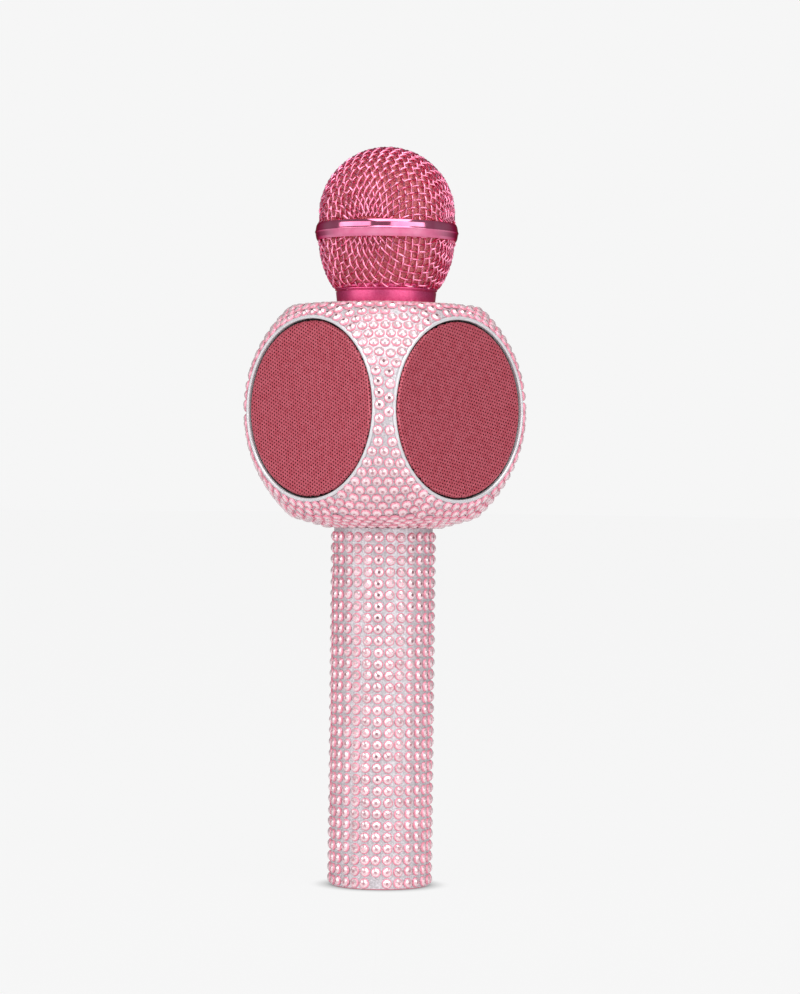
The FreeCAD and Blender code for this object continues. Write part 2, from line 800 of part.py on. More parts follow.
def charging_port():
    """Pressed steel shell of the charging socket with its tongue."""
    w, d, h = usb_size
    y0 = board_front_y + board_size[1]
    shell = block(usb_x - w / 2, usb_x + w / 2, y0, y0 + d, port_bottom, port_bottom + h)
    shell = shell.makeFillet(0.7, [e for e in shell.Edges if abs(e.tangentAt(e.FirstParameter).z) > 0.99
                                   and e.CenterOfMass.y > y0 + d / 2])
    hollow = block(usb_x - w / 2 + 0.4, usb_x + w / 2 - 0.4, y0 + 0.4, y0 + d - 0.4, 0, h)
    tongue = block(usb_x - 1.9, usb_x + 1.9, y0 + 0.9, y0 + 1.5, 1.6, h + 0.5)
    return fuse([shell.cut(hollow), tongue])


def card_socket():
    w, d, h = card_socket_size
    y1 = board_front_y
    body = block(-w / 2, w / 2, y1 - d, y1, 3.2, 3.2 + h)
    return body.cut(block(-5.7, 5.7, y1 - d + 0.4, y1 - 0.5, 0, h))


def main_board():
    w, t, h = board_size
    board = block(-w / 2, w / 2, board_front_y, board_front_y + t, board_bottom, board_bottom + h)
    for z in (board_bottom + 20, board_bottom + h - 5):
        for x in (-w / 2 + 2.2, w / 2 - 2.2):
            board = board.cut(bar(1.0, board_front_y - 1, board_front_y + t + 1, x, z))
    return board


def tact_switches():
    """One switch behind each button and two behind each rocker."""
    spots = [play_button[1], mode_button[1], power_button[1]]
    spots += [z + dz for z in rocker_heights for dz in (-rocker_throw, rocker_throw)]
    made = []
    for z in spots:
        body = block(-2.2, 2.2, board_front_y - 1.5, board_front_y, z - 2.2, z + 2.2)
        made.append(fuse([body, bar(1.1, board_front_y - 2.3, board_front_y - 1.5, 0, z)]))
    return made


def board_parts():
    """The larger parts soldered to the back of the board: radio module, amplifier, chip and capacitors."""
    y = board_front_y + board_size[1]
    module = block(-6.5, 6.5, y, y + 1.8, 17.0, 34.0)
    amplifier = block(-4.0, 4.0, y, y + 1.5, 107.5, 113.0)
    cans = [bar(2.5, y, y + 5.4, x, 26.0) for x in (-8.6, 8.6)]
    return [module, amplifier] + cans


def battery_cell():
    cell = cylinder(cell_radius, cell_bottom, cell_bottom + cell_length, 0, cell_centre_y)
    cell = cell.makeFillet(0.8, [e for e in cell.Edges if isinstance(e.Curve, Part.Circle)])
    tip = cylinder(2.8, cell_bottom + cell_length, cell_bottom + cell_length + 1.2, 0, cell_centre_y)
    return fuse([cell, tip])


def chassis():
    """The tray inside the tube: a half pipe with bulkheads that grip the cell, and posts for the cap."""
    low, high = tray_span
    outer, inner = tube_bore_radius - 0.1, tube_bore_radius - tray_wall
    cell_top = cell_bottom + cell_length
    cell_space = cylinder(cell_radius + 0.15, cell_bottom - 0.1, cell_top + 1.7, 0, cell_centre_y)
    tray = fuse([ring(outer, inner, low, high)]
                + [cylinder(outer, z, z + bulkhead_thickness) for z in bulkheads])
    for space in (
        block(-20, 20, -20, -6.6, 0, 130),
        block(-20, 20, -20, -3.4, 0, 20),
        cell_space,
        block(-5, 5, -8, 2, 0, 130),
    ):
        tray = tray.cut(space)
    tray = fuse([tray] + [cylinder(2.6, low, 22.0, x, cap_screw_y) for x in cap_screw_x])
    for x in cap_screw_x:
        tray = tray.cut(cylinder(1.25, low - 1, 14.0, x, cap_screw_y))
    return tray


# ---------------------------------------------------------------- control panel and keys
def shell_sector(inner, outer, width, height):
    """The part of a tube about Z that lies inside a slot outline on the -Y side."""
    return ring(outer, inner, 0, 130).common(rounded_slot(width, height, panel_centre_z, -30, -5))


def control_panel():
    """Curved fascia: a flange on the tube, a plug in its window, key openings, and ears for rocker pins."""
    panel = fuse([
        shell_sector(tube_radius, panel_outer_radius, *panel_flange),
        shell_sector(panel_inner_radius, tube_radius, panel_window[0] - 0.2, panel_window[1] - 0.2),
    ])
    for radius, z in (play_button, mode_button, power_button):
        panel = panel.cut(bar(radius + key_gap, -30, -5, 0, z))
    ear_x = rocker_size[0] / 2 + 0.7
    for z in rocker_heights:
        w, h = rocker_size[0] + 2 * rocker_gap[0], rocker_size[1] + 2 * rocker_gap[1]
        panel = panel.cut(rounded_slot(w, h, z, -30, -5))
        for side in (1, -1):
            x0, x1 = sorted((side * ear_x, side * (ear_x + 1.2)))
            ear = block(x0, x1, -15.9, rocker_pivot_y + 1.6, z - 1.8, z + 1.8)
            panel = panel.fuse(ear).cut(cross_bar(rocker_pin_radius + 0.05, 20, z))
    return panel.cut(bar(lens_radius, -30, -5, 0, lens_z)).removeSplitter()


def indicator_lens():
    return bar(lens_radius, -19.0, -16.2, 0, lens_z).common(cylinder(panel_outer_radius + 0.2, 100, 130))


def button(spec):
    """A round key with a curved face and a retaining lip behind the panel."""
    radius, z = spec
    cap = bar(radius, -25, -14.0, 0, z).common(cylinder(panel_outer_radius + key_proud, z - 20, z + 20))
    lip = bar(radius + key_lip, -14.75, -13.9, 0, z)
    stem = bar(1.4, -14.0, board_front_y - 2.3 - button_travel - 0.1, 0, z)
    return fuse([cap, lip, stem])


def cross_bar(radius, length, z):
    """A round bar along X on a rocker's axis."""
    return Part.makeCylinder(radius, length, Vector(-length / 2, rocker_pivot_y, z), Vector(1, 0, 0))


def rocker(z):
    """A rocker key: a slot-shaped cap dished along its middle, turning on a cross pin."""
    w, h = rocker_size
    cap = rounded_slot(w, h, z, -25, -14.3).common(cylinder(panel_outer_radius + key_proud, z - 20, z + 20))
    crest = panel_outer_radius + key_proud
    dish = Part.makeCylinder(rocker_dish_radius, 20, Vector(-10, 0.45 - crest - rocker_dish_radius, z),
                             Vector(1, 0, 0))
    cap = cap.cut(dish)
    pin = cross_bar(rocker_pin_radius, w + 3.4, z)
    stems = [bar(1.2, -14.4, board_front_y - 2.8, 0, z + dz) for dz in (-rocker_throw, rocker_throw)]
    return fuse([cap, pin] + stems)


# ---------------------------------------------------------------- internal leads
def capsule_lead():
    route = [(0, 0, 218.3), (0, 0, 200), (2.5, 1.5, 178), (-1.5, 2.0, 156), (1.0, -2.0, 136), (0, -7.4, 122),
             (0, -8.3, 115.5)]
    return cable([Vector(*p) for p in route], lead_radius + 0.1)


def speaker_lead(side):
    """Twin lead from a loudspeaker's tag down to the board."""
    route = [(19.5, 7.0, 152.0), (14.0, 6.0, 147.0), (9.0, 3.0, 137.0), (7.5, -3.0, 126.0),
             (7.0, -8.2, 117.5), (7.0, -8.2, 112.0)]
    return cable([Vector(side * x, y, z) for x, y, z in route], lead_radius)


def build():
    upper, lower = head_shells()
    parts = {
        "handle_tube": handle_tube(),
        "handle_stone_wrap": handle_stone_wrap(),
        "end_cap": end_cap(),
        "end_cap_screws": end_cap_screws(),
        "headphone_jack": headphone_jack(),
        "charging_port": charging_port(),
        "memory_card_socket": card_socket(),
        "main_board": main_board(),
        "tact_switches": tact_switches(),
        "board_parts": board_parts(),
        "battery_cell": battery_cell(),
        "chassis": chassis(),
        "control_panel": control_panel(),
        "indicator_lens": indicator_lens(),
        "play_button": button(play_button),
        "mode_button": button(mode_button),
        "power_button": button(power_button),
        "music_volume_rocker": rocker(rocker_heights[0]),
        "voice_volume_rocker": rocker(rocker_heights[1]),
        "echo_rocker": rocker(rocker_heights[2]),
        "head_upper_shell": upper,
        "head_lower_shell": lower,
        "head_screws": head_screws(),
        "head_stone_skin": head_stone_skin(),
        "neck": neck(),
        "neck_screws": neck_screws(),
        "capsule_cradle": capsule_cradle(),
        "capsule_gasket": capsule_gasket(),
        "microphone_capsule": capsule(),
        "windscreen_collar": windscreen_collar(),
        "windscreen_cup": windscreen_cup(),
        "windscreen_band": windscreen_band(),
        "windscreen_dome": windscreen_dome(),
        "foam_liner": foam_liner(),
        "capsule_lead": capsule_lead(),
        "speaker_lead_right": speaker_lead(1),
        "speaker_lead_left": speaker_lead(-1),
    }
    parts["felt_screens"] = [felt_screen(angle) for angle in FACES.values()]
    for side, angle in FACES.items():
        parts["bezel_" + side] = bezel(angle)
        parts["grille_" + side] = grille(angle)
    for side in ("right", "left"):
        angle = FACES[side]
        parts["speaker_basket_" + side] = speaker_basket(angle)
        parts["speaker_magnet_" + side] = speaker_magnet(angle)
        parts["speaker_cone_" + side] = speaker_cone(angle)
        parts["speaker_surround_" + side] = roll_surround(angle)
    for side in ("front", "back"):
        angle = FACES[side]
        parts["radiator_frame_" + side] = radiator_frame(angle)
        parts["radiator_plate_" + side] = radiator_plate(angle)
        parts["radiator_surround_" + side] = roll_surround(angle)
    return parts


def main():
    os.makedirs("parts", exist_ok=True)
    for name, made in build().items():
        shape = Part.makeCompound(made) if isinstance(made, list) else made
        solids = shape.Solids
        if not solids or not shape.isValid():
            raise RuntimeError(name + " isn't a valid solid")
        keep = solids[0] if len(solids) == 1 else Part.makeCompound(solids)
        keep.exportStep(os.path.join("parts", name + ".step"))
        print(name, len(solids), "solids", round(sum(s.Volume for s in solids)), "mm3", keep.isClosed())


main()
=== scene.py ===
# %% [markdown]
# # A karaoke microphone, rebuilt round its CAD frame
# The real object is a hand microphone with a small ball-shaped loudspeaker head. Its handle and head are
# covered with glued cut stones on silver foil, four round grilles look out of the head, and a windscreen
# of woven pink wire screws on top. This notebook keeps every place and size from the CAD frame and adds
# what a CAD model leaves out: the weave, the stones, the perforated discs, the foam, and the finishes.

import bmesh
import bpy
import json
import math
import numpy as np
import random
from mathutils import Matrix, Vector
from mathutils.bvhtree import BVHTree


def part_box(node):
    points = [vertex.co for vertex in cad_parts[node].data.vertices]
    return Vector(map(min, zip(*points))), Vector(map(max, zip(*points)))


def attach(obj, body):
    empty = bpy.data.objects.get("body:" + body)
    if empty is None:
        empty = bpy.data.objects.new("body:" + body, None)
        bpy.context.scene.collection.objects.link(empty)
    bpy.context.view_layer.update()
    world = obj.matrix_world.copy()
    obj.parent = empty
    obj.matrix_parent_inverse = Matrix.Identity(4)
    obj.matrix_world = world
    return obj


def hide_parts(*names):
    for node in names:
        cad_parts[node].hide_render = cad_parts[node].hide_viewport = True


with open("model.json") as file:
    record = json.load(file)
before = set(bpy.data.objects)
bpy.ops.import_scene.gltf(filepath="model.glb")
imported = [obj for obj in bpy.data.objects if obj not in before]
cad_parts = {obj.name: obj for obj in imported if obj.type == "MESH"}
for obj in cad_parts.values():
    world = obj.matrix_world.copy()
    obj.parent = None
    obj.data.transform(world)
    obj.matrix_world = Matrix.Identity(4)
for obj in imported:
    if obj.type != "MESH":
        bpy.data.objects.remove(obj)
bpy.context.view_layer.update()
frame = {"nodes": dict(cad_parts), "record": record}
nodes = frame["nodes"]

# %% [markdown]
# ## Units and small tools
# Everything in Blender is in metres, while a maker thinks of this object in millimetres, so one constant
# turns the one into the other. Colours are written as the hex values a designer would pick and turned to
# the linear values that the renderer needs. One function adds a shader node and fills or links its inputs.
# The rows of a triangular pattern stand 0.866 of its pitch apart, which both the stones and the punched
# holes use.

# %% Units, colours and shader nodes
MM = 0.001
ROW_RATIO = 0.866


def linear(hex_colour, alpha=1.0):
    """An sRGB hex colour as linear RGBA."""
    channels = [int(hex_colour[i:i + 2], 16) / 255 for i in (1, 3, 5)]
    return [c / 12.92 if c <= 0.04045 else ((c + 0.055) / 1.055) ** 2.4 for c in channels] + [alpha]


def add(tree, kind, inputs=None, **settings):
    """Adds a shader node, sets its settings, and fills or links its inputs by name or number."""
    made = tree.nodes.new("ShaderNode" + kind)
    for name, value in settings.items():
        setattr(made, name, value)
    for name, value in (inputs or {}).items():
        if isinstance(value, bpy.types.NodeSocket):
            tree.links.new(value, made.inputs[name])
        else:
            made.inputs[name].default_value = value
    return made


def start_material(name, **surface):
    """A new material with a Principled surface; returns it, its tree and its surface node."""
    material = bpy.data.materials.new(name)
    material.use_nodes = True
    tree = material.node_tree
    shader = tree.nodes["Principled BSDF"]
    for socket, value in surface.items():
        shader.inputs[socket.replace("_", " ")].default_value = value
    return material, tree, shader


def object_noise(tree, size_mm, detail=2.0, stretch=(1, 1, 1)):
    """Noise in object space whose blotches are about size_mm across."""
    place = add(tree, "TexCoord")
    scale = [s / (size_mm * MM) for s in stretch]
    mapped = add(tree, "Mapping", {"Vector": place.outputs["Object"], "Scale": scale})
    return add(tree, "TexNoise", {"Vector": mapped.outputs[0], "Scale": 1.0, "Detail": detail,
                                  "Roughness": 0.6})


def bump(tree, shader, height, depth_mm, strength=0.5):
    """Links a height to the surface as a relief of depth_mm."""
    made = add(tree, "Bump", {"Height": height, "Strength": strength, "Distance": depth_mm * MM})
    tree.links.new(made.outputs[0], shader.inputs["Normal"])


def two_tone(tree, shader, factor, dark, light, low=0.35, high=0.65):
    """Mixes two hex colours by a factor and links the result to the base colour."""
    spread = add(tree, "MapRange", {"Value": factor, "From Min": low, "From Max": high})
    mixed = add(tree, "Mix", {"Factor": spread.outputs[0]}, data_type="RGBA")
    mixed.inputs[6].default_value = linear(dark)
    mixed.inputs[7].default_value = linear(light)
    tree.links.new(mixed.outputs[2], shader.inputs["Base Color"])

# %% [markdown]
# ## Finishing a piece
# A bmesh becomes an object at the world origin, with its place in its vertices, because the CAD nodes are
# kept the same way. Smooth shading with a sharp-edge angle keeps turned faces round and their edges crisp.
# Each piece names the CAD body it rides on and the CAD nodes it stands for, which are hidden, and
# takes one material.

# %% From bmesh to a piece
def piece(name, bm, material, body, replaces=(), sharp=35, quiet=False):
    """Makes an object of a bmesh and ties it to the frame."""
    mesh = bpy.data.meshes.new(name)
    bm.to_mesh(mesh)
    bm.free()
    mesh.materials.append(material)
    mesh.shade_smooth()
    mesh.set_sharp_from_angle(angle=math.radians(sharp))
    made = bpy.data.objects.new(name, mesh)
    bpy.context.scene.collection.objects.link(made)
    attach(made, body)
    if replaces:
        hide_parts(*replaces)
    if not quiet:
        print(name, len(mesh.polygons), "faces")
    return made


def turned(outline, segments, round_off=0.0):
    """Spins a closed outline of (radius, height) points, in mm, round Z; corners may be rounded first."""
    bm = bmesh.new()
    corners = [bm.verts.new((r * MM, 0, z * MM)) for r, z in outline]
    for pair in zip(corners, corners[1:] + corners[:1]):
        bm.edges.new(pair)
    if round_off:
        bmesh.ops.bevel(bm, geom=corners, offset=round_off * MM, segments=3, affect="VERTICES", profile=0.5,
                        material=-1, clamp_overlap=True)
    bmesh.ops.spin(bm, geom=bm.verts[:] + bm.edges[:], cent=(0, 0, 0), axis=(0, 0, 1), angle=math.tau,
                   steps=segments, use_merge=True)
    bmesh.ops.remove_doubles(bm, verts=bm.verts, dist=1e-6)
    bmesh.ops.recalc_face_normals(bm, faces=bm.faces)
    return bm


def box_mm(node):
    low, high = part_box(node)
    return low / MM, high / MM

# %% [markdown]
# ## Camera
# The microphone is seen from a little over a metre away, level with its middle, looking at the corner
# between two grilles. A long lens at that distance keeps the handle's sides nearly parallel. The
# microphone leans by well under a degree in the frame, so the camera is rolled by that amount.

# %% Camera
VIEW_AZIMUTH = math.radians(135)
CAMERA_DISTANCE = 1.15
CAMERA_HEIGHT = 0.1392
LENS = 115.9
SIDE_STEP = 0.0058
ROLL = math.radians(0.64)

back = Vector((math.sin(VIEW_AZIMUTH), -math.cos(VIEW_AZIMUTH), 0))
right = Vector((0, 0, 1)).cross(back)
camera = bpy.data.objects.new("camera", bpy.data.cameras.new("camera"))
camera.data.lens = LENS
camera.data.clip_end = 50
facing = Matrix((right, Vector((0, 0, 1)), back)).transposed() @ Matrix.Rotation(ROLL, 3, "Z")
stand = back * CAMERA_DISTANCE + right * SIDE_STEP + Vector((0, 0, CAMERA_HEIGHT))
camera.matrix_world = Matrix.Translation(stand) @ facing.to_4x4()
bpy.context.scene.collection.objects.link(camera)
bpy.context.scene.camera = camera
print("camera at", [round(x, 3) for x in camera.location])

# %% [markdown]
# ## Floor and light
# The object stands on a pale seamless floor. Two large softboxes stand beside the camera with a dark gap
# between them, which is what puts the dark point in the middle of a cut stone and the bright patches on
# the polished ring. A third softbox above brightens the top of the head. The lights can't be seen
# directly. Floor and world look one even shade to the camera, as a seamless studio sweep does, and are
# dimmer to reflections. To the camera the floor is an even glow. Within a few millimetres of the object,
# where the two touch, ambient occlusion dims that glow into a painted contact shadow.

# %% Floor and light
GROUND = "#F6F6F6"


def softbox(name, bearing, height, distance, size, radiance):
    """A rectangular lamp at a bearing to the camera's right, facing the head; radiance is its brightness."""
    turn = VIEW_AZIMUTH + math.radians(bearing)
    spot = Vector((math.sin(turn), -math.cos(turn), 0)) * distance + Vector((0, 0, height))
    lamp = bpy.data.lights.new(name, "AREA")
    lamp.shape = "RECTANGLE"
    lamp.size, lamp.size_y = size
    lamp.energy = radiance * math.pi * size[0] * size[1]
    made = bpy.data.objects.new(name, lamp)
    aim = Vector((0, 0, 0.17)) - spot
    made.matrix_world = Matrix.Translation(spot) @ aim.to_track_quat("-Z", "Y").to_matrix().to_4x4()
    made.visible_camera = False
    bpy.context.scene.collection.objects.link(made)


softbox("softbox_right", 37, 0.35, 1.6, (1.75, 1.7), 1.8)
softbox("softbox_left", -57, 0.35, 1.6, (1.7, 1.7), 1.7)
softbox("softbox_top", 10, 1.9, 0.9, (1.7, 1.7), 3.0)

world = bpy.data.worlds.new("studio")
bpy.context.scene.world = world
world.use_nodes = True
tree = world.node_tree
tree.nodes.clear()
path = add(tree, "LightPath")
seen = add(tree, "Background", {"Color": linear(GROUND)})
lit = add(tree, "Background", {"Color": linear("#8A8688")})
both = add(tree, "MixShader", {0: path.outputs["Is Camera Ray"], 1: lit.outputs[0], 2: seen.outputs[0]})
add(tree, "OutputWorld", {"Surface": both.outputs[0]})

ground, tree, shader = start_material("painted_floor_matt_white", Base_Color=linear("#F0EEEF"),
                                      Roughness=0.9)
grain = object_noise(tree, 3.0)
bump(tree, shader, grain.outputs["Fac"], 0.02, 0.1)
# Painted contact shadow: ambient occlusion within 7 mm dims the floor's glow where the object stands.
nearby = add(tree, "AmbientOcclusion", {"Distance": 0.007})
painted_contact_shadow = add(tree, "MapRange", {"Value": nearby.outputs["AO"], "From Min": 0.3, "To Min": 0.4,
                                 "To Max": 0.985})
glow = add(tree, "Emission", {"Color": linear(GROUND), "Strength": painted_contact_shadow.outputs[0]})
shadowed = add(tree, "BsdfDiffuse", {"Color": linear("#242424")})
seen = add(tree, "AddShader", {0: glow.outputs[0], 1: shadowed.outputs[0]})
path = add(tree, "LightPath")
both = add(tree, "MixShader", {0: path.outputs["Is Camera Ray"], 1: shader.outputs[0], 2: seen.outputs[0]})
tree.links.new(both.outputs[0], tree.nodes["Material Output"].inputs["Surface"])

bm = bmesh.new()
bmesh.ops.create_grid(bm, x_segments=2, y_segments=2, size=20.0)
mesh = bpy.data.meshes.new("floor")
bm.to_mesh(mesh)
bm.free()
mesh.materials.append(ground)
floor = bpy.data.objects.new("floor", mesh)
bpy.context.scene.collection.objects.link(floor)
bpy.context.scene.view_settings.view_transform = "Standard"
print("three softboxes and a floor")

# %% [markdown]
# ## Finishes
# Each material starts from what the real one is. The windscreen's wire and ring are steel, plated and then
# dipped in clear pink lacquer, so they are metals whose colour comes from the lacquer.

# %% Lacquered metals
def lacquered_metal(name, dark, light, edge, roughness, patch_mm, coat=0.3, metallic=1.0):
    """Plated steel under tinted lacquer, a little uneven in thickness and deeper in tint at the edges."""
    made, tree, shader = start_material(name, Metallic=metallic, Roughness=roughness, Coat_Weight=coat,
                                        Coat_Roughness=0.12, Specular_Tint=linear(edge))
    patches = object_noise(tree, patch_mm)
    two_tone(tree, shader, patches.outputs["Fac"], dark, light)
    bump(tree, shader, patches.outputs["Fac"], 0.02, 0.3)
    return made


wire_finish = lacquered_metal("steel_wire_plated_lacquered_pink", "#E6789C", "#F4A0BC", "#E0648E", 0.24, 1.5)
ring_finish = lacquered_metal("steel_ring_polished_lacquered_pink", "#EA7AA2", "#F294B6", "#C83460",
                              0.1, 6.0, 0.1)
collar_finish = lacquered_metal("steel_collar_satin_lacquered_pink", "#D0487C", "#DC5C8C", "#C8406C",
                                0.42, 0.6)
grille_finish = lacquered_metal("steel_sheet_perforated_lacquered_pink", "#BC5260", "#C86270", "#BC5260",
                                0.42, 2.0, 0.5, 0.4)

# %% [markdown]
# The foam behind the wire is dyed polyether with open cells of about half a millimetre. A cell pattern
# gives both its dark pores and its relief.

# %% Foam
foam_finish, tree, shader = start_material("polyether_foam_open_cell_coral", Roughness=0.95, Sheen_Weight=0.3)
place = add(tree, "TexCoord")
cells = add(tree, "TexVoronoi", {"Vector": place.outputs["Object"], "Scale": 1 / (0.6 * MM)})
two_tone(tree, shader, cells.outputs["Distance"], "#F69C9C", "#C05060", 0.1, 0.8)
bump(tree, shader, cells.outputs["Distance"], 0.3, 0.7)

# %% [markdown]
# The stones sit on a sheet of silver foil with a fine glitter. Each glitter flake is a cell with its own
# brightness. The bezels are moulded plastic with a vacuum-plated pale silver finish.

# %% Foil and bezel
foil_finish, tree, shader = start_material("polyester_foil_glitter_silver", Metallic=0.35, Roughness=0.35)
place = add(tree, "TexCoord")
flakes = add(tree, "TexVoronoi", {"Vector": place.outputs["Object"], "Scale": 1 / (0.45 * MM)})
brightness = add(tree, "SeparateColor", {"Color": flakes.outputs["Color"]})
two_tone(tree, shader, brightness.outputs[0], "#B6B4B8", "#E2E0E4", 0.0, 1.0)
bump(tree, shader, brightness.outputs[1], 0.05, 0.6)

bezel_finish, tree, shader = start_material("abs_moulded_vacuum_plated_silver", Metallic=0.25, Roughness=0.28,
                                            Coat_Weight=0.4, Coat_Roughness=0.1)
patches = object_noise(tree, 9.0)
two_tone(tree, shader, patches.outputs["Fac"], "#D8DADD", "#E4E6E8")
bump(tree, shader, patches.outputs["Fac"], 0.05, 0.2)

# %% [markdown]
# A flat-backed stone is cut acrylic with a mirror coat on its base. Its steep rim looks deep pink, because
# light runs furthest through the tinted acrylic there. The middle throws light straight back, so it is
# near white where it faces a lamp and dark where it faces the gap between the lamps. The material reads
# how far in each face lies, which is kept on the face, and goes from a mostly diffuse pink rim to a
# mirror-like table.

# %% Stones
def stone_material(name, rim, crown, table):
    made, tree, shader = start_material(name, Roughness=0.15, Coat_Weight=0.5, Coat_Roughness=0.03)
    inner = add(tree, "Attribute", attribute_name="inward")
    shade = add(tree, "Attribute", attribute_name="shade")
    ramp = add(tree, "ValToRGB", {"Fac": inner.outputs["Fac"]})
    ramp.color_ramp.elements[0].color = linear(rim)
    ramp.color_ramp.elements[1].color = linear(table)
    middle = ramp.color_ramp.elements.new(0.5)
    middle.color = linear(crown)
    lightness = add(tree, "MapRange", {"Value": shade.outputs["Fac"], "To Min": 0.88, "To Max": 1.08})
    tinted = add(tree, "HueSaturation", {"Color": ramp.outputs[0], "Value": lightness.outputs[0]})
    tree.links.new(tinted.outputs[0], shader.inputs["Base Color"])
    mirror = add(tree, "MapRange", {"Value": inner.outputs["Fac"], "To Min": 0.1, "To Max": 0.9})
    tree.links.new(mirror.outputs[0], shader.inputs["Metallic"])
    return made


stone_finish = stone_material("acrylic_stone_cut_foil_backed_pink", "#F8A2B6", "#FCE4E8", "#E2ACB6")

# %% [markdown]
# The shells, the handle tube and the end cap are moulded ABS in a semi-gloss pink, most of it hidden under
# the stones. The small parts inside have their own plain finishes, since they are seen when the windscreen
# lifts and through the ports.

# %% Plain finishes for carried-over parts
def moulded(name, dark, light, roughness, patch_mm=0.4, depth_mm=0.02, **surface):
    """Moulded or coated stock with a fine surface texture."""
    made, tree, shader = start_material(name, Roughness=roughness, **surface)
    texture = object_noise(tree, patch_mm, 3.0)
    two_tone(tree, shader, texture.outputs["Fac"], dark, light)
    bump(tree, shader, texture.outputs["Fac"], depth_mm, 0.4)
    return made


finishes = {
    "glued_stones": foil_finish,
    "pink_plated_wire": wire_finish,
    "pink_plated_ring": collar_finish,
    "pink_foam": foam_finish,
    "pink_grille_mesh": grille_finish,
    "silver_bezel": bezel_finish,
    "pink_moulding": moulded("abs_moulded_semi_gloss_pink", "#E88AA0", "#EC94A9", 0.35),
    "panel_moulding": moulded("abs_moulded_lacquered_rose", "#D9607F", "#DE6C8A", 0.22, Coat_Weight=0.6),
    "key_moulding": moulded("abs_keys_vacuum_plated_silver", "#D8D6DA", "#E6E4E8", 0.2, Metallic=0.7),
    "clear_lens": moulded("polycarbonate_lens_moulded_clear", "#E6EEF6", "#F2F7FC", 0.08,
                          Transmission_Weight=0.7),
    "black_moulding": moulded("abs_moulded_matt_black", "#17171A", "#1F1F22", 0.6),
    "circuit_board": moulded("glass_epoxy_board_green_mask", "#0F4A2C", "#145A36", 0.35, 2.0),
    "cell_sleeve": moulded("pvc_sleeve_heat_shrunk_blue", "#26549C", "#2F61AE", 0.3, 4.0),
    "nickel_plate": moulded("steel_pressed_nickel_plated", "#A9A59C", "#B9B5AC", 0.25, 1.0, Metallic=1.0),
    "screw_steel": moulded("steel_screw_zinc_plated", "#8E9094", "#A0A2A6", 0.35, 0.5, Metallic=1.0),
    "black_rubber": moulded("butyl_rubber_moulded_black", "#141414", "#1C1C1C", 0.75),
    "basket_steel": moulded("steel_pressed_powder_coated_black", "#18181A", "#222225", 0.55, 0.3, 0.05),
    "radiator_moulding": moulded("glass_filled_nylon_moulded_black", "#1A1A1C", "#232326", 0.6),
    "radiator_steel": moulded("steel_plate_black_oxide", "#1B1B1E", "#29292D", 0.45, 1.0, Metallic=0.6),
    "cone_paper": moulded("paper_cone_pressed_coated", "#1D1C1C", "#2B2929", 0.85, 0.5, 0.08),
    "ferrite": moulded("ferrite_sintered_ground", "#2A2A2C", "#3A3A3D", 0.6, 0.5),
    # The felt rim seen in the gap round each grille is near black to paint the shadow in that gap.
    "black_felt": moulded("polyester_felt_black_painted_gap_shadow", "#0E0B0C", "#1E1819", 0.95, 0.3, 0.1),
    "lead_sleeve": moulded("silicone_lead_extruded_grey", "#3A3A3E", "#46464A", 0.5),
}
slots = {row["node"]: row["material_slot"] for row in frame["record"]["subparts"]}
for name, made in nodes.items():
    made.data.materials.clear()
    made.data.materials.append(finishes[slots[name]])
print(len(nodes), "CAD nodes given", len(finishes), "finishes")

# %% [markdown]
# ## The woven windscreen
# The two baskets are flat plain-woven mesh drawn over a ball. Woven wire doesn't stretch, it shears: the
# squares stay square along the two threads through the crown and close to diamonds between them. That is a
# fishnet pattern, in which each crossing is the mirror image of the one before it across the line between
# its two neighbours. The code lays such a net on a ball and then reads each crossing as a bearing and a
# distance from the crown, so that the same net serves the dome and the barrel below it.

# %% Fishnet on a ball
WIRE_RADIUS = 0.35
MESH_PITCH = 2.6
WEAVE_TURN = math.radians(74)
dome_high = box_mm("windscreen_dome")[1]
MESH_RADIUS = dome_high.x - 2 * WIRE_RADIUS
DOME_CENTRE = dome_high.z - dome_high.x
QUARTER = MESH_RADIUS * math.pi / 2


def fishnet(count):
    """Crossings of a square net laid on a ball, as unit vectors by (row, column)."""
    step = MESH_PITCH / MESH_RADIUS
    net = {}
    for k in range(-count, count + 1):
        net[k, 0] = Vector((math.sin(k * step), 0, math.cos(k * step)))
        net[0, k] = Vector((0, math.sin(k * step), math.cos(k * step)))
    for side_a in (1, -1):
        for side_b in (1, -1):
            for i in range(1, count + 1):
                for j in range(1, count + 1):
                    before = net[side_a * (i - 1), side_b * (j - 1)]
                    a, b = net[side_a * (i - 1), side_b * j], net[side_a * i, side_b * (j - 1)]
                    mirror = a.cross(b).normalized()
                    net[side_a * i, side_b * j] = before - 2 * before.dot(mirror) * mirror
    return net


NET_COUNT = int(1.2 * QUARTER / MESH_PITCH)
net = fishnet(NET_COUNT)
print(len(net), "crossings at", MESH_PITCH, "mm")

# %% [markdown]
# Each wire runs over one crossing and under the next. A smooth spline whose control points lie alternately
# above and below the middle surface bends just as a crimped wire does. A quadratic spline halves that
# swing, so the points lie a full wire thickness away to bring the wire's own swing to its radius.

# %% Wires along the net
def thread_runs(net, across, inside):
    """Runs of neighbouring crossings along each thread that are inside the basket, each with its sign."""
    runs = []
    for k in range(-NET_COUNT, NET_COUNT + 1):
        run = []
        for m in range(-NET_COUNT, NET_COUNT + 1):
            key = (k, m) if across else (m, k)
            if inside(net[key]):
                over = 1 if (key[0] + key[1]) % 2 == 0 else -1
                run.append((net[key], -over if across else over))
            elif run:
                runs.append(run)
                run = []
        runs.append(run)
    return [run for run in runs if len(run) > 1]


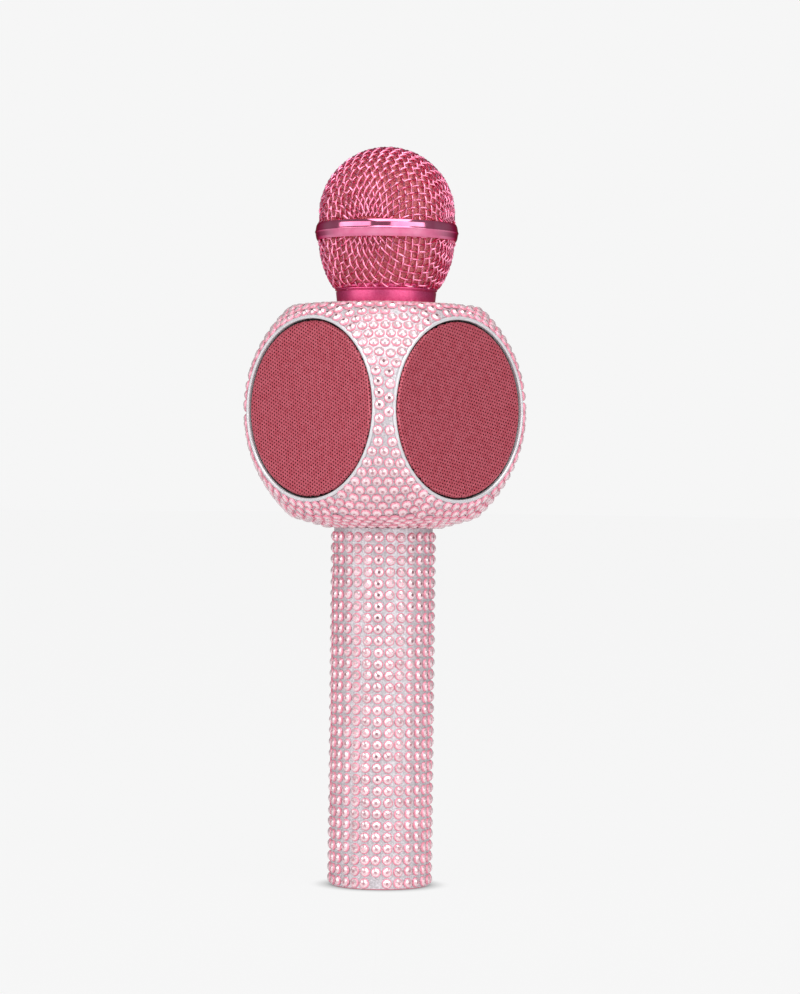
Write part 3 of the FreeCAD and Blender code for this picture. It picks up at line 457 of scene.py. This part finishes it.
def woven(name, place, inside, seed):
    """Bends every thread over the basket's surface and returns the wires as a mesh."""
    jitter = random.Random(seed)
    curve = bpy.data.curves.new(name, "CURVE")
    curve.dimensions = "3D"
    curve.bevel_depth = WIRE_RADIUS * MM
    curve.bevel_resolution = 2
    curve.use_fill_caps = True
    for across in (False, True):
        for run in thread_runs(net, across, inside):
            spline = curve.splines.new("NURBS")
            spline.points.add(len(run) - 1)
            spline.order_u = 3
            spline.use_endpoint_u = True
            spline.resolution_u = 5
            for point, (direction, sign) in zip(spline.points, run):
                spot, normal = place(direction)
                spot += normal * 2 * WIRE_RADIUS * sign + Vector([jitter.gauss(0, 0.05) for _ in range(3)])
                point.co = (*(spot * MM), 1)
    holder = bpy.data.objects.new(name + "_curve", curve)
    bpy.context.scene.collection.objects.link(holder)
    bpy.context.view_layer.update()
    mesh = bpy.data.meshes.new_from_object(holder.evaluated_get(bpy.context.evaluated_depsgraph_get()))
    bpy.data.objects.remove(holder)
    bm = bmesh.new()
    bm.from_mesh(mesh)
    return bm


def polar(direction):
    """Distance from the crown along the ball, in mm, and bearing."""
    arc = math.acos(max(-1, min(1, direction.z))) * MESH_RADIUS
    return arc, math.atan2(direction.y, direction.x) + WEAVE_TURN


def on_dome(direction):
    arc, bearing = polar(direction)
    tilt = min(arc / MESH_RADIUS, math.pi / 2)
    drop = max(0, arc - QUARTER)
    out = Vector((math.sin(tilt) * math.cos(bearing), math.sin(tilt) * math.sin(bearing), math.cos(tilt)))
    return out * MESH_RADIUS + Vector((0, 0, DOME_CENTRE - drop)), out


dome_depth = QUARTER + DOME_CENTRE - box_mm("windscreen_dome")[0].z
piece("windscreen_dome_weave", woven("dome", on_dome, lambda d: polar(d)[0] < dome_depth, 1), wire_finish,
      "windscreen", ["windscreen_dome"])

# %% [markdown]
# The lower basket is the same net the other way up, over a barrel that narrows to the collar. Its curve is
# an arc that is upright at the ring and passes through the lip, so the lip's radius and height give its
# radius.

# %% Lower basket
cup_low, cup_high = box_mm("windscreen_cup")
CUP_LIP = 19.4
LIP_RADIUS = CUP_LIP - WIRE_RADIUS * 2
LIP_RISE = cup_high.z - cup_low.z - 1.0
BELLY = (LIP_RISE ** 2 + (MESH_RADIUS - LIP_RADIUS) ** 2) / (2 * (MESH_RADIUS - LIP_RADIUS))
LIP_TILT = math.asin(LIP_RISE / BELLY)
FOOT = 2.4
FOOT_IN, FOOT_DOWN = 0.8, 0.6
CUP_DEPTH = BELLY * LIP_TILT + FOOT


def on_cup(direction):
    arc, bearing = polar(direction)
    depth = min(QUARTER - arc, CUP_DEPTH)
    tilt = min(max(0, depth) / BELLY, LIP_TILT)
    turned_in = max(0, depth - BELLY * LIP_TILT)
    radius = MESH_RADIUS - BELLY * (1 - math.cos(tilt)) - FOOT_IN * turned_in
    height = cup_high.z - BELLY * math.sin(tilt) - FOOT_DOWN * turned_in + max(0, -depth)
    out = Vector((math.cos(bearing) * math.cos(tilt), math.sin(bearing) * math.cos(tilt), -math.sin(tilt)))
    return Vector((math.cos(bearing) * radius, math.sin(bearing) * radius, height)), out


piece("windscreen_cup_weave",
      woven("cup", on_cup, lambda d: -0.5 < QUARTER - polar(d)[0] < CUP_DEPTH + 0.8 * MESH_PITCH, 2),
      wire_finish, "windscreen", ["windscreen_cup"])

# %% [markdown]
# The wires' ends are rolled into a narrow hem that turns in under the basket and sits in the collar.

# %% Hem
HEM_INNER, HEM_OUTER = 16.9, 18.2
hem_top = cup_low.z + 1.6
bm = turned([(HEM_INNER, cup_low.z), (HEM_OUTER - 0.6, cup_low.z), (HEM_OUTER, cup_low.z + 0.5),
             (HEM_OUTER, hem_top), (HEM_INNER, hem_top)], 128, 0.12)
piece("windscreen_hem", bm, collar_finish, "windscreen")

# %% [markdown]
# The ring that clamps the two baskets is a pressed band with a ridge round its middle, polished under its
# lacquer. It is turned from its outline.

# %% Clamp ring
band_low, band_high = box_mm("windscreen_band")
band_middle = (band_low.z + band_high.z) / 2
half = (band_high.z - band_low.z) / 2
ridge = band_high.x
edge = ridge - 1.0
inner = edge - 2.2
bm = turned([(inner, band_middle - half + 0.5), (edge, band_middle - half),
             (ridge - 0.55, band_middle - half * 0.7), (ridge - 0.25, band_middle - half * 0.12),
             (ridge, band_middle),
             (ridge - 0.25, band_middle + half * 0.12), (ridge - 0.55, band_middle + half * 0.7),
             (edge, band_middle + half), (inner, band_middle + half - 0.5)], 128, 0.2)
piece("windscreen_clamp_ring", bm, ring_finish, "windscreen", ["windscreen_band"], 60)

# %% [markdown]
# Below the mesh sits a short satin collar with the thread inside it. Its edges are softened, and a fine
# groove runs under its top edge where the mesh is rolled into it.

# %% Collar
BORE = 16.8
collar_low, collar_high = box_mm("windscreen_collar")
top, bottom = collar_high.z, collar_low.z
wide = collar_high.x
bm = turned([(BORE, bottom), (wide - 0.6, bottom), (wide - 0.05, top - 0.9), (wide - 0.35, top - 0.8),
             (wide - 0.35, top - 0.5), (wide + 0.2, top - 0.4), (wide + 0.2, top + 0.2),
             (BORE, top + 0.2)], 128, 0.1)
piece("windscreen_collar_turned", bm, collar_finish, "windscreen", ["windscreen_collar"])

# %% [markdown]
# ## Foam liner
# A moulded foam ball lines the whole windscreen. Its surface follows the mesh a fraction of a millimetre
# inside it, and is a little lumpy, as cut foam is.

# %% Foam
FOAM_GAP = 0.35
FOAM_WALL = 2.6
FOAM_LUMPS = 0.07


def liner_outline(shrink, upward):
    """Points down the dome and the barrel at a distance inside the mesh."""
    radius = MESH_RADIUS - WIRE_RADIUS * 2 - shrink
    points = [(radius * math.sin(t), DOME_CENTRE + radius * math.cos(t))
              for t in np.linspace(0, math.pi / 2, 20)]
    reach = BELLY - WIRE_RADIUS * 2 - shrink
    for tilt in np.linspace(0, LIP_TILT, 14):
        points.append((radius - reach * (1 - math.cos(tilt)), cup_high.z - reach * math.sin(tilt)))
    foot = box_mm("foam_liner")[0].z
    if points[-1][1] > foot + 0.1:
        points.append((points[-1][0] - 0.3, foot))
    return points[::-1] if upward else points


outline = liner_outline(FOAM_GAP, False) + liner_outline(FOAM_GAP + FOAM_WALL, True)
bm = turned(outline, 96)
random.seed(5)
for vert in bm.verts:
    if vert.co.xy.length > 0.5 * MM:
        vert.co += vert.normal * random.gauss(0, FOAM_LUMPS) * MM
foam = piece("windscreen_foam", bm, foam_finish, "foam", ["foam_liner"], 80)

# %% [markdown]
# ## Silver foil
# The CAD skins on the head and the handle stand for foil and stones together. The foil alone is a copy of
# each skin, welded, with its outer side drawn in to the thickness of the sheet. In this way it keeps the
# exact openings for the grilles, the collar and the control panel. On the head the outer side is drawn
# towards the skin's own inner side. The shells below it would do as well, but for their screw holes, where
# the nearest point is on a hole's edge. The inner side is found by starting from the faces that lie on the
# shells and spreading over every edge that isn't sharp.

# %% Foil sheets
FOIL = 0.2


def merged_copy(*names):
    """A bmesh of CAD nodes whose loose triangles are welded."""
    bm = bmesh.new()
    for name in names:
        bm.from_mesh(nodes[name].data)
    bmesh.ops.remove_doubles(bm, verts=bm.verts, dist=1e-6)
    bm.verts.index_update()
    return bm


tube_radius = box_mm("handle_tube")[1].x
bm = merged_copy("handle_stone_wrap")
for vert in bm.verts:
    if vert.co.xy.length > (tube_radius + FOIL) * MM:
        vert.co.xy = vert.co.xy.normalized() * (tube_radius + FOIL) * MM
piece("handle_foil", bm, foil_finish, "housing")

shells = merged_copy("head_upper_shell", "head_lower_shell")
shell_tree = BVHTree.FromBMesh(shells)
foil = merged_copy("head_stone_skin")
inner_side = {f for f in foil.faces if shell_tree.find_nearest(f.calc_center_median())[3] < 0.05 * MM}
spreading = list(inner_side)
while spreading:
    for edge in spreading.pop().edges:
        if edge.calc_face_angle(math.pi) < math.radians(28):
            fresh = [f for f in edge.link_faces if f not in inner_side]
            inner_side.update(fresh)
            spreading += fresh
inner_tree = BVHTree.FromPolygons([v.co.copy() for v in foil.verts],
                                  [[v.index for v in f.verts] for f in foil.faces if f in inner_side])
print(len(inner_side), "of", len(foil.faces), "faces are the skin's inner side")
for vert in foil.verts:
    spot, _, _, gap = inner_tree.find_nearest(vert.co)
    if gap > 2 * FOIL * MM:
        vert.co = spot + (vert.co - spot).normalized() * FOIL * MM
bmesh.ops.triangulate(foil, faces=foil.faces)
outer = [f for f in foil.faces if inner_tree.find_nearest(f.calc_center_median())[3] > 0.8 * FOIL * MM]
corners = np.array([[v.co[:] for v in f.verts] for f in outer])
areas = np.array([f.calc_area() for f in outer])
print("foil to cover on the head:", round(areas.sum() / MM ** 2), "square mm")

# %% [markdown]
# ## Laying out the stones on the head
# The stones on the head are set by hand, close together and in no strict pattern. Points are scattered
# over the foil at random and then push each other apart until they are evenly spaced, while they stay on
# the foil and a stone's radius away from every opening. This is how bubbles settle, and it gives the same
# near-regular look. The foil leaves each bezel at about 44 degrees, so seen from the front a distance
# along it is shortened to its cosine. Where a gap is left that is wide enough for another stone, one is
# added, and all settle again. A stone pushes others that are nearer than PUSH_REACH spacings, and takes a
# PUSH_SHARE of the push at each step.

# %% Scatter and settle
STONE_RADIUS = 1.87
SPACING = 3.72
FOIL_SLOPE = 0.72
CANDIDATES = 4000
ROUNDS = 4
SETTLE_STEPS = 50
PUSH_REACH = 1.12
PUSH_SHARE = 0.3
ROOM_FOR_ONE = 0.76
foil_surface = BVHTree.FromPolygons([Vector(c) for c in corners.reshape(-1, 3)],
                                    [range(3 * i, 3 * i + 3) for i in range(len(corners))])
head_centre = (box_mm("bezel_right")[0].z + box_mm("bezel_right")[1].z) / 2
bezel_radius = box_mm("bezel_right")[1].y
bezel_front = box_mm("bezel_right")[1].x
collar_radius = box_mm("windscreen_collar")[1].x
wrap_radius = box_mm("handle_stone_wrap")[1].x
KEEP_OFF = (STONE_RADIUS - 0.15) * MM
BEZEL_KEEP_OFF = (STONE_RADIUS - 0.3) * FOIL_SLOPE * MM


def pushed_clear(point, middle, radius):
    """Moves points (rows of two numbers) out of a circle."""
    offset = point - middle
    length = np.linalg.norm(offset, axis=1, keepdims=True)
    return np.where(length < radius, middle + offset / length * radius, point)


def kept_on_foil(points):
    """Moves points out of the four grille openings, the collar and the handle, and back onto the foil."""
    middle = np.array([0, head_centre * MM])
    reach = bezel_radius * MM + BEZEL_KEEP_OFF
    for axis, other in ((0, 1), (1, 0)):
        facing = np.abs(points[:, axis]) > np.abs(points[:, other])
        points[np.ix_(facing, [other, 2])] = pushed_clear(points[np.ix_(facing, [other, 2])], middle, reach)
    above = points[:, 2] > head_centre * MM
    for rows, radius in ((above, collar_radius), (~above, wrap_radius + 0.4)):
        points[np.ix_(rows, [0, 1])] = pushed_clear(points[np.ix_(rows, [0, 1])], np.zeros(2),
                                                    radius * MM + KEEP_OFF)
    return np.array([foil_surface.find_nearest(p)[0] for p in points])


draw = np.random.default_rng(7)
picks = draw.choice(len(areas), CANDIDATES, p=areas / areas.sum())
weights = draw.dirichlet((1, 1, 1), CANDIDATES)
spots = (corners[picks] * weights[..., None]).sum(1)
clear = np.linalg.norm(kept_on_foil(spots.copy()) - spots, axis=1) < 0.05 * MM
wanted = int(areas.sum() * clear.mean() / (ROW_RATIO * (SPACING * MM) ** 2))
spare = spots[clear]
points = spare[:wanted]


def apart(points):
    """Offsets and distances between all pairs; a point's distance to itself is set far off."""
    delta = points[:, None] - points[None]
    return delta, np.linalg.norm(delta, axis=2) + np.eye(len(points))


for settling in range(ROUNDS):
    for step in range(SETTLE_STEPS):
        delta, gap = apart(points)
        push = np.clip(PUSH_REACH * SPACING * MM - gap, 0, None) / gap
        points = kept_on_foil(points + PUSH_SHARE * (delta * push[..., None]).sum(1))
    if settling < ROUNDS - 1:
        for spot in spare:
            if np.linalg.norm(points - spot, axis=1).min() > ROOM_FOR_ONE * SPACING * MM:
                points = np.vstack([points, spot])
gap = apart(points)[1]
head_spots = [foil_surface.find_nearest(p)[:2] for p in points]
print(len(points), "stones on the head, nearest neighbours", round(gap.min(1).mean() / MM, 2), "mm apart")

# %% [markdown]
# ## One cut stone
# A round flat-backed stone has a low upright girdle, a steep pink rim, eight main facets that rise to a
# small flat table, and eight narrow facets between them. A short cone with its slanted edges bevelled has
# these facets. A cut across it parts rim from crown, and pushing that cut outwards makes the rim the
# steeper one. The girdle is the bottom face pulled down. Each face is marked with how far in it lies, from
# 0 at the rim to 1 at the table, for the material.

# %% Stone
TABLE_RADIUS = 0.62
CROWN_RADIUS = 1.42
GIRDLE = 0.25
STONE_HEIGHT = 1.2

bm = bmesh.new()
bmesh.ops.create_cone(bm, segments=8, radius1=STONE_RADIUS * MM, radius2=TABLE_RADIUS * MM,
                      depth=(STONE_HEIGHT - GIRDLE) * MM, cap_ends=True)
slanted = [e for e in bm.edges if abs(e.verts[0].co.z - e.verts[1].co.z) > 1e-5]
bmesh.ops.bevel(bm, geom=slanted, offset=0.26 * MM, segments=1, affect="EDGES", profile=0.5, material=-1)
cut = bmesh.ops.bisect_plane(bm, geom=bm.verts[:] + bm.edges[:] + bm.faces[:], plane_co=(0, 0, 0),
                             plane_no=(0, 0, 1))
crown_edge = [v for v in cut["geom_cut"] if isinstance(v, bmesh.types.BMVert)]
stretch = CROWN_RADIUS * MM / max(v.co.length for v in crown_edge)
bmesh.ops.scale(bm, vec=(stretch, stretch, 1), verts=crown_edge)
base = min(bm.faces, key=lambda f: f.calc_center_median().z)
pulled = bmesh.ops.extrude_face_region(bm, geom=[base])
bmesh.ops.translate(bm, vec=(0, 0, -GIRDLE * MM),
                    verts=[v for v in pulled["geom"] if isinstance(v, bmesh.types.BMVert)])
bmesh.ops.translate(bm, vec=(0, 0, -min(v.co.z for v in bm.verts)), verts=bm.verts)
bmesh.ops.recalc_face_normals(bm, faces=bm.faces)
inward = bm.faces.layers.float.new("inward")
shade = bm.faces.layers.float.new("shade")
crown_height = min(v.co.z for v in crown_edge)
for face in bm.faces:
    if face.normal.z > 0.99:
        face[inward] = 1.0
    elif face.calc_center_median().z > crown_height:
        face[inward] = 0.5
stone = bpy.data.meshes.new("stone")
bm.to_mesh(stone)
bm.free()
print("one stone has", len(stone.polygons), "faces")

# %% [markdown]
# ## Setting the stones
# Every stone is a copy of the one above, stood on the foil along its normal, with a random turn, a degree
# or two of tilt, and a shade of its own. The stones of the handle and those of the head are one piece
# each.

# %% Set stones
LEAN = 0.022
SINK = 0.02


def set_stones(name, places, seed):
    """Copies the stone to each (spot, normal) and joins the copies into one piece."""
    dice = random.Random(seed)
    bm = bmesh.new()
    for spot, normal in places:
        tilt = Vector([dice.gauss(0, LEAN) for _ in range(3)])
        facing = (Vector(normal) + tilt).normalized().to_track_quat("Z", "Y").to_matrix().to_4x4()
        spin = Matrix.Rotation(dice.uniform(0, math.tau), 4, "Z")
        copy = stone.copy()
        copy.attributes["shade"].data.foreach_set("value", [dice.random()] * len(copy.polygons))
        copy.transform(Matrix.Translation(Vector(spot) - Vector(normal) * SINK * MM) @ facing @ spin)
        bm.from_mesh(copy)
        bpy.data.meshes.remove(copy)
    return piece(name, bm, stone_finish, "housing", sharp=1)


piece("head_foil", foil, foil_finish, "housing", ["head_stone_skin"])
set_stones("head_stones", head_spots, 3)

# %% [markdown]
# The stones of the handle stand in straight rows and columns all the way round. The control panel's
# outline is left free: whether a place is too near it is judged by the place in the grid, before the small
# random shift, so that the border stays whole. One stone is missing from the bottom row.

# %% Handle stones
ROWS = 31
FIRST_ROW = 2.3
ROW_PITCH = 4.085
COLUMNS = 28
FIRST_COLUMN = math.radians(105)
COLUMN_PITCH = math.tau / COLUMNS
MISSING = (0, 23)
PANEL_KEEP_OFF = STONE_RADIUS - 0.3

panel_low, panel_high = box_mm("control_panel")
slot_middle = (panel_low.z + panel_high.z) / 2
slot_half = panel_high.x + 0.2
slot_straight = (panel_high.z - panel_low.z) / 2 + 0.2 - slot_half
dice = random.Random(9)
handle_spots = []
for row in range(ROWS):
    for column in range(COLUMNS):
        ideal_bearing = FIRST_COLUMN + column * COLUMN_PITCH
        ideal_height = FIRST_ROW + row * ROW_PITCH
        bearing = ideal_bearing + dice.gauss(0, 0.12) / tube_radius
        height = ideal_height + dice.gauss(0, 0.09)
        normal = Vector((math.cos(bearing), math.sin(bearing), 0))
        across = tube_radius * math.cos(ideal_bearing)
        beyond = max(0, abs(ideal_height - slot_middle) - slot_straight)
        over_panel = math.sin(ideal_bearing) < 0 and math.hypot(across, beyond) < slot_half + PANEL_KEEP_OFF
        if not over_panel and (row, column) != MISSING:
            handle_spots.append((normal * (tube_radius + FOIL) * MM + Vector((0, 0, height * MM)), normal))
handle_stones = set_stones("handle_stones", handle_spots, 4)
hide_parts("handle_stone_wrap")
print(len(handle_spots), "stones on the handle")

# %% [markdown]
# ## Bezels
# Each grille sits in a moulded rim with a soft rounded edge. The rim is turned about the upright axis from
# its outline, then laid on its side and swung to each of the four faces.

# %% Bezels
FACES = {"right": 0, "back": 90, "left": 180, "front": 270}


def swung_to(bm, angle):
    """Lays a piece modelled about Z on its side, facing out of the head at an angle."""
    place = Matrix.Translation((0, 0, head_centre * MM)) @ Matrix.Rotation(math.radians(angle), 4, "Z")
    bmesh.ops.transform(bm, matrix=place @ Matrix.Rotation(math.pi / 2, 4, "Y"), verts=bm.verts)
    return bm


grille_high = box_mm("grille_right")[1]
bezel_back = box_mm("bezel_right")[0].x
bezel_inner = grille_high.y + 0.6
for side, angle in FACES.items():
    bm = turned([(bezel_inner - 1.6, bezel_back), (bezel_radius, bezel_back),
                 (bezel_radius, bezel_front - 0.45), (bezel_radius - 0.45, bezel_front),
                 (bezel_inner + 0.3, bezel_front),
                 (bezel_inner, bezel_front - 0.3), (bezel_inner, bezel_back + 1.2),
                 (bezel_inner - 1.6, bezel_back + 1.2)], 128, 0.12)
    piece("bezel_" + side + "_turned", swung_to(bm, angle), bezel_finish, "housing", ["bezel_" + side],
          50, quiet=side != "right")

# %% [markdown]
# ## Perforated grilles
# A grille is thin steel sheet punched with round holes in a triangular pattern, pressed into a shallow
# dish with a rolled edge. Each hole owns one hexagon of sheet, so the sheet is welded together from
# hexagons, each is inset to make its hole, and the holes are rounded. Then the flat sheet is bent over the
# edge by measuring every point's distance from the middle along the dish instead of across it.

# %% Punched sheet
HOLE_PITCH = 1.3
HOLE_RADIUS = 0.33
SHEET = 0.35
BEND = 1.2
disc_radius = grille_high.y
disc_face = grille_high.x
flat_radius = disc_radius - BEND
sheet_reach = flat_radius + BEND * math.pi / 2 + 0.3


def punched_sheet():
    """A flat round sheet with its holes about Z, as a mesh."""
    bm = bmesh.new()
    corner = HOLE_PITCH / math.sqrt(3)
    rows = int(sheet_reach / (HOLE_PITCH * ROW_RATIO)) + 1
    for row in range(-rows, rows + 1):
        for column in range(-rows - 6, rows + 7):
            centre = Vector(((column + 0.5 * (row % 2)) * HOLE_PITCH, row * HOLE_PITCH * math.sqrt(0.75), 0))
            if centre.length < sheet_reach - corner:
                bmesh.ops.create_circle(bm, cap_ends=True, segments=6, radius=corner * MM,
                                        matrix=Matrix.Translation(centre * MM))
    bmesh.ops.remove_doubles(bm, verts=bm.verts, dist=0.02 * MM)
    bmesh.ops.subdivide_edges(bm, edges=bm.edges, cuts=1)
    holes = bm.faces[:]
    bmesh.ops.inset_individual(bm, faces=holes, thickness=0.12 * MM)
    for hole in holes:
        centre = hole.calc_center_median()
        for vert in hole.verts:
            vert.co = centre + (vert.co - centre).normalized() * HOLE_RADIUS * MM
    bmesh.ops.delete(bm, geom=holes, context="FACES_ONLY")
    mesh = bpy.data.meshes.new("punched_sheet")
    bm.to_mesh(mesh)
    bm.free()
    return mesh


def pressed(bm):
    """Bends the flat sheet over the dish's rolled edge and gives it its thickness."""
    for vert in bm.verts:
        travel = vert.co.xy.length / MM
        angle = min(max(travel - flat_radius, 0) / BEND, math.pi / 2)
        down = max(travel - flat_radius - BEND * math.pi / 2, 0)
        if travel > flat_radius:
            radius = flat_radius + BEND * math.sin(angle)
            height = disc_face - BEND * (1 - math.cos(angle)) - down
            vert.co.xy = vert.co.xy.normalized() * radius * MM
        else:
            height = disc_face
        vert.co.z = height * MM
    bmesh.ops.recalc_face_normals(bm, faces=bm.faces)
    if max(bm.faces, key=lambda f: f.calc_center_median().z).normal.z < 0:
        bmesh.ops.reverse_faces(bm, faces=bm.faces)
    bmesh.ops.solidify(bm, geom=bm.faces[:], thickness=SHEET * MM)
    return bm


SHEET_TURN = {"right": 7, "back": 18, "left": 40, "front": -12}
sheet = punched_sheet()
for side, angle in FACES.items():
    bm = bmesh.new()
    bm.from_mesh(sheet)
    bmesh.ops.rotate(bm, cent=(0, 0, 0), matrix=Matrix.Rotation(math.radians(SHEET_TURN[side]), 3, "Z"),
                     verts=bm.verts)
    swung_to(pressed(bm), angle)
    piece("grille_" + side + "_punched", bm, grille_finish, "housing", ["grille_" + side],
          quiet=side != "right")

# %% [markdown]
# ## Thread on the neck
# The collar screws onto a moulded thread with a pitch of 1.5 mm. A spin that climbs as it turns sweeps a
# small triangle into a helix.

# %% Neck thread
THREAD_PITCH = 1.5
THREAD_TURNS = 2.5
THREAD_STEPS = 64
THREAD_ROOT = 16.45
THREAD_RISE = 0.27
THREAD_HALF = 0.35
start = box_mm("neck")[1].z - 0.3 - THREAD_PITCH * THREAD_TURNS
bm = bmesh.new()
corners_mm = ((THREAD_ROOT, start - THREAD_HALF), (THREAD_ROOT + THREAD_RISE, start),
              (THREAD_ROOT, start + THREAD_HALF))
profile = [bm.verts.new((r * MM, 0, z * MM)) for r, z in corners_mm]
bmesh.ops.contextual_create(bm, geom=profile)
steps = int(THREAD_STEPS * THREAD_TURNS)
bmesh.ops.spin(bm, geom=bm.faces[:] + bm.edges[:] + bm.verts[:], cent=(0, 0, 0), axis=(0, 0, 1),
               dvec=(0, 0, THREAD_PITCH * MM / THREAD_STEPS), angle=math.tau * THREAD_TURNS, steps=steps)
bmesh.ops.recalc_face_normals(bm, faces=bm.faces)
piece("neck_thread", bm, finishes["pink_moulding"], "housing")

# %% [markdown]
# ## Signs on the keys
# The keys carry plain moulded signs: a triangle with two bars to play and pause, a ring for the mode, the
# usual broken ring for power, and a plus and a minus on each rocker. Each sign is a thin raised plate sunk
# into its key, so the key's curve doesn't leave a gap behind it.

# %% Signs
SIGN_THICK = 0.5
SIGN_HALF_LINE = 0.22
ROCKER_ARM = 5.2
sign_finish = moulded("abs_sign_moulded_rose", "#B8466A", "#C25274", 0.35)


def plate(bm, width, height, x, z, depth, turn=0.0):
    """A small bevelled bar standing out of a key that faces -Y."""
    made = bmesh.ops.create_cube(bm, size=MM)
    verts = made["verts"]
    bmesh.ops.scale(bm, vec=(width, SIGN_THICK, height), verts=verts)
    edges = {e for v in verts for e in v.link_edges}
    bevelled = bmesh.ops.bevel(bm, geom=list(edges), offset=0.08 * MM, segments=2, affect="EDGES", profile=0.5,
                               material=-1)
    verts = list({v for f in bevelled["faces"] for v in f.verts})
    place = Matrix.Translation(Vector((x, -depth + SIGN_THICK / 2, z)) * MM) @ Matrix.Rotation(turn, 4, "Y")
    bmesh.ops.transform(bm, matrix=place, verts=verts)


def ring_sign(bm, radius, z, depth, sweep):
    """Part of a ring round a key's middle, open at its top."""
    begin = math.pi / 2 + (math.tau - sweep) / 2
    outline = [bm.verts.new(((radius + dr) * MM, -(depth + dy) * MM, 0))
               for dr, dy in ((-SIGN_HALF_LINE, 0), (SIGN_HALF_LINE, 0), (SIGN_HALF_LINE, -SIGN_THICK),
                              (-SIGN_HALF_LINE, -SIGN_THICK))]
    bmesh.ops.rotate(bm, cent=(0, 0, 0), matrix=Matrix.Rotation(-begin, 3, "Y"), verts=outline)
    face = bmesh.ops.contextual_create(bm, geom=outline)["faces"]
    whole = math.isclose(sweep, math.tau)
    bmesh.ops.spin(bm, geom=face + list(face[0].edges) + outline, cent=(0, 0, 0), axis=(0, -1, 0),
                   angle=sweep, steps=36, use_merge=whole)
    if whole:
        bmesh.ops.remove_doubles(bm, verts=bm.verts, dist=1e-6)
    bmesh.ops.translate(bm, vec=(0, 0, z * MM), verts=bm.verts)


def key_middle(node):
    low, high = box_mm(node)
    return (low.z + high.z) / 2, -low.y


middle, depth = key_middle("play_button")
bm = bmesh.new()
bmesh.ops.create_circle(bm, cap_ends=True, segments=3, radius=1.5 * MM)
pulled = bmesh.ops.extrude_face_region(bm, geom=bm.faces[:])
bmesh.ops.translate(bm, vec=(0, 0, SIGN_THICK * MM),
                    verts=[v for v in pulled["geom"] if isinstance(v, bmesh.types.BMVert)])
upright = Matrix.Rotation(math.pi / 2, 4, "X") @ Matrix.Rotation(-math.pi / 2, 4, "Z")
place = Matrix.Translation(Vector((-0.9, -depth + SIGN_THICK, middle)) * MM)
bmesh.ops.transform(bm, matrix=place @ upright, verts=bm.verts)
for x in (1.15, 2.15):
    plate(bm, 0.5, 2.4, x, middle, depth + 0.06)
bmesh.ops.recalc_face_normals(bm, faces=bm.faces)
piece("play_sign", bm, sign_finish, "play_key")

for name, radius, sweep, bar in (("mode", 1.5, math.tau, None), ("power", 1.8, math.tau * 0.82, 1.9)):
    middle, depth = key_middle(name + "_button")
    bm = bmesh.new()
    ring_sign(bm, radius, middle, depth, sweep)
    if bar:
        plate(bm, 0.45, bar, 0, middle + radius * 0.75, depth + 0.02)
    bmesh.ops.recalc_face_normals(bm, faces=bm.faces)
    piece(name + "_sign", bm, sign_finish, name + "_key")

for name in ("music_volume", "voice_volume", "echo"):
    middle, depth = key_middle(name + "_rocker")
    bm = bmesh.new()
    plate(bm, 2.6, 0.55, 0, middle + ROCKER_ARM, depth)
    plate(bm, 0.55, 2.6, 0, middle + ROCKER_ARM, depth)
    plate(bm, 2.6, 0.55, 0, middle - ROCKER_ARM, depth)
    piece(name + "_signs", bm, sign_finish, name + "_key")
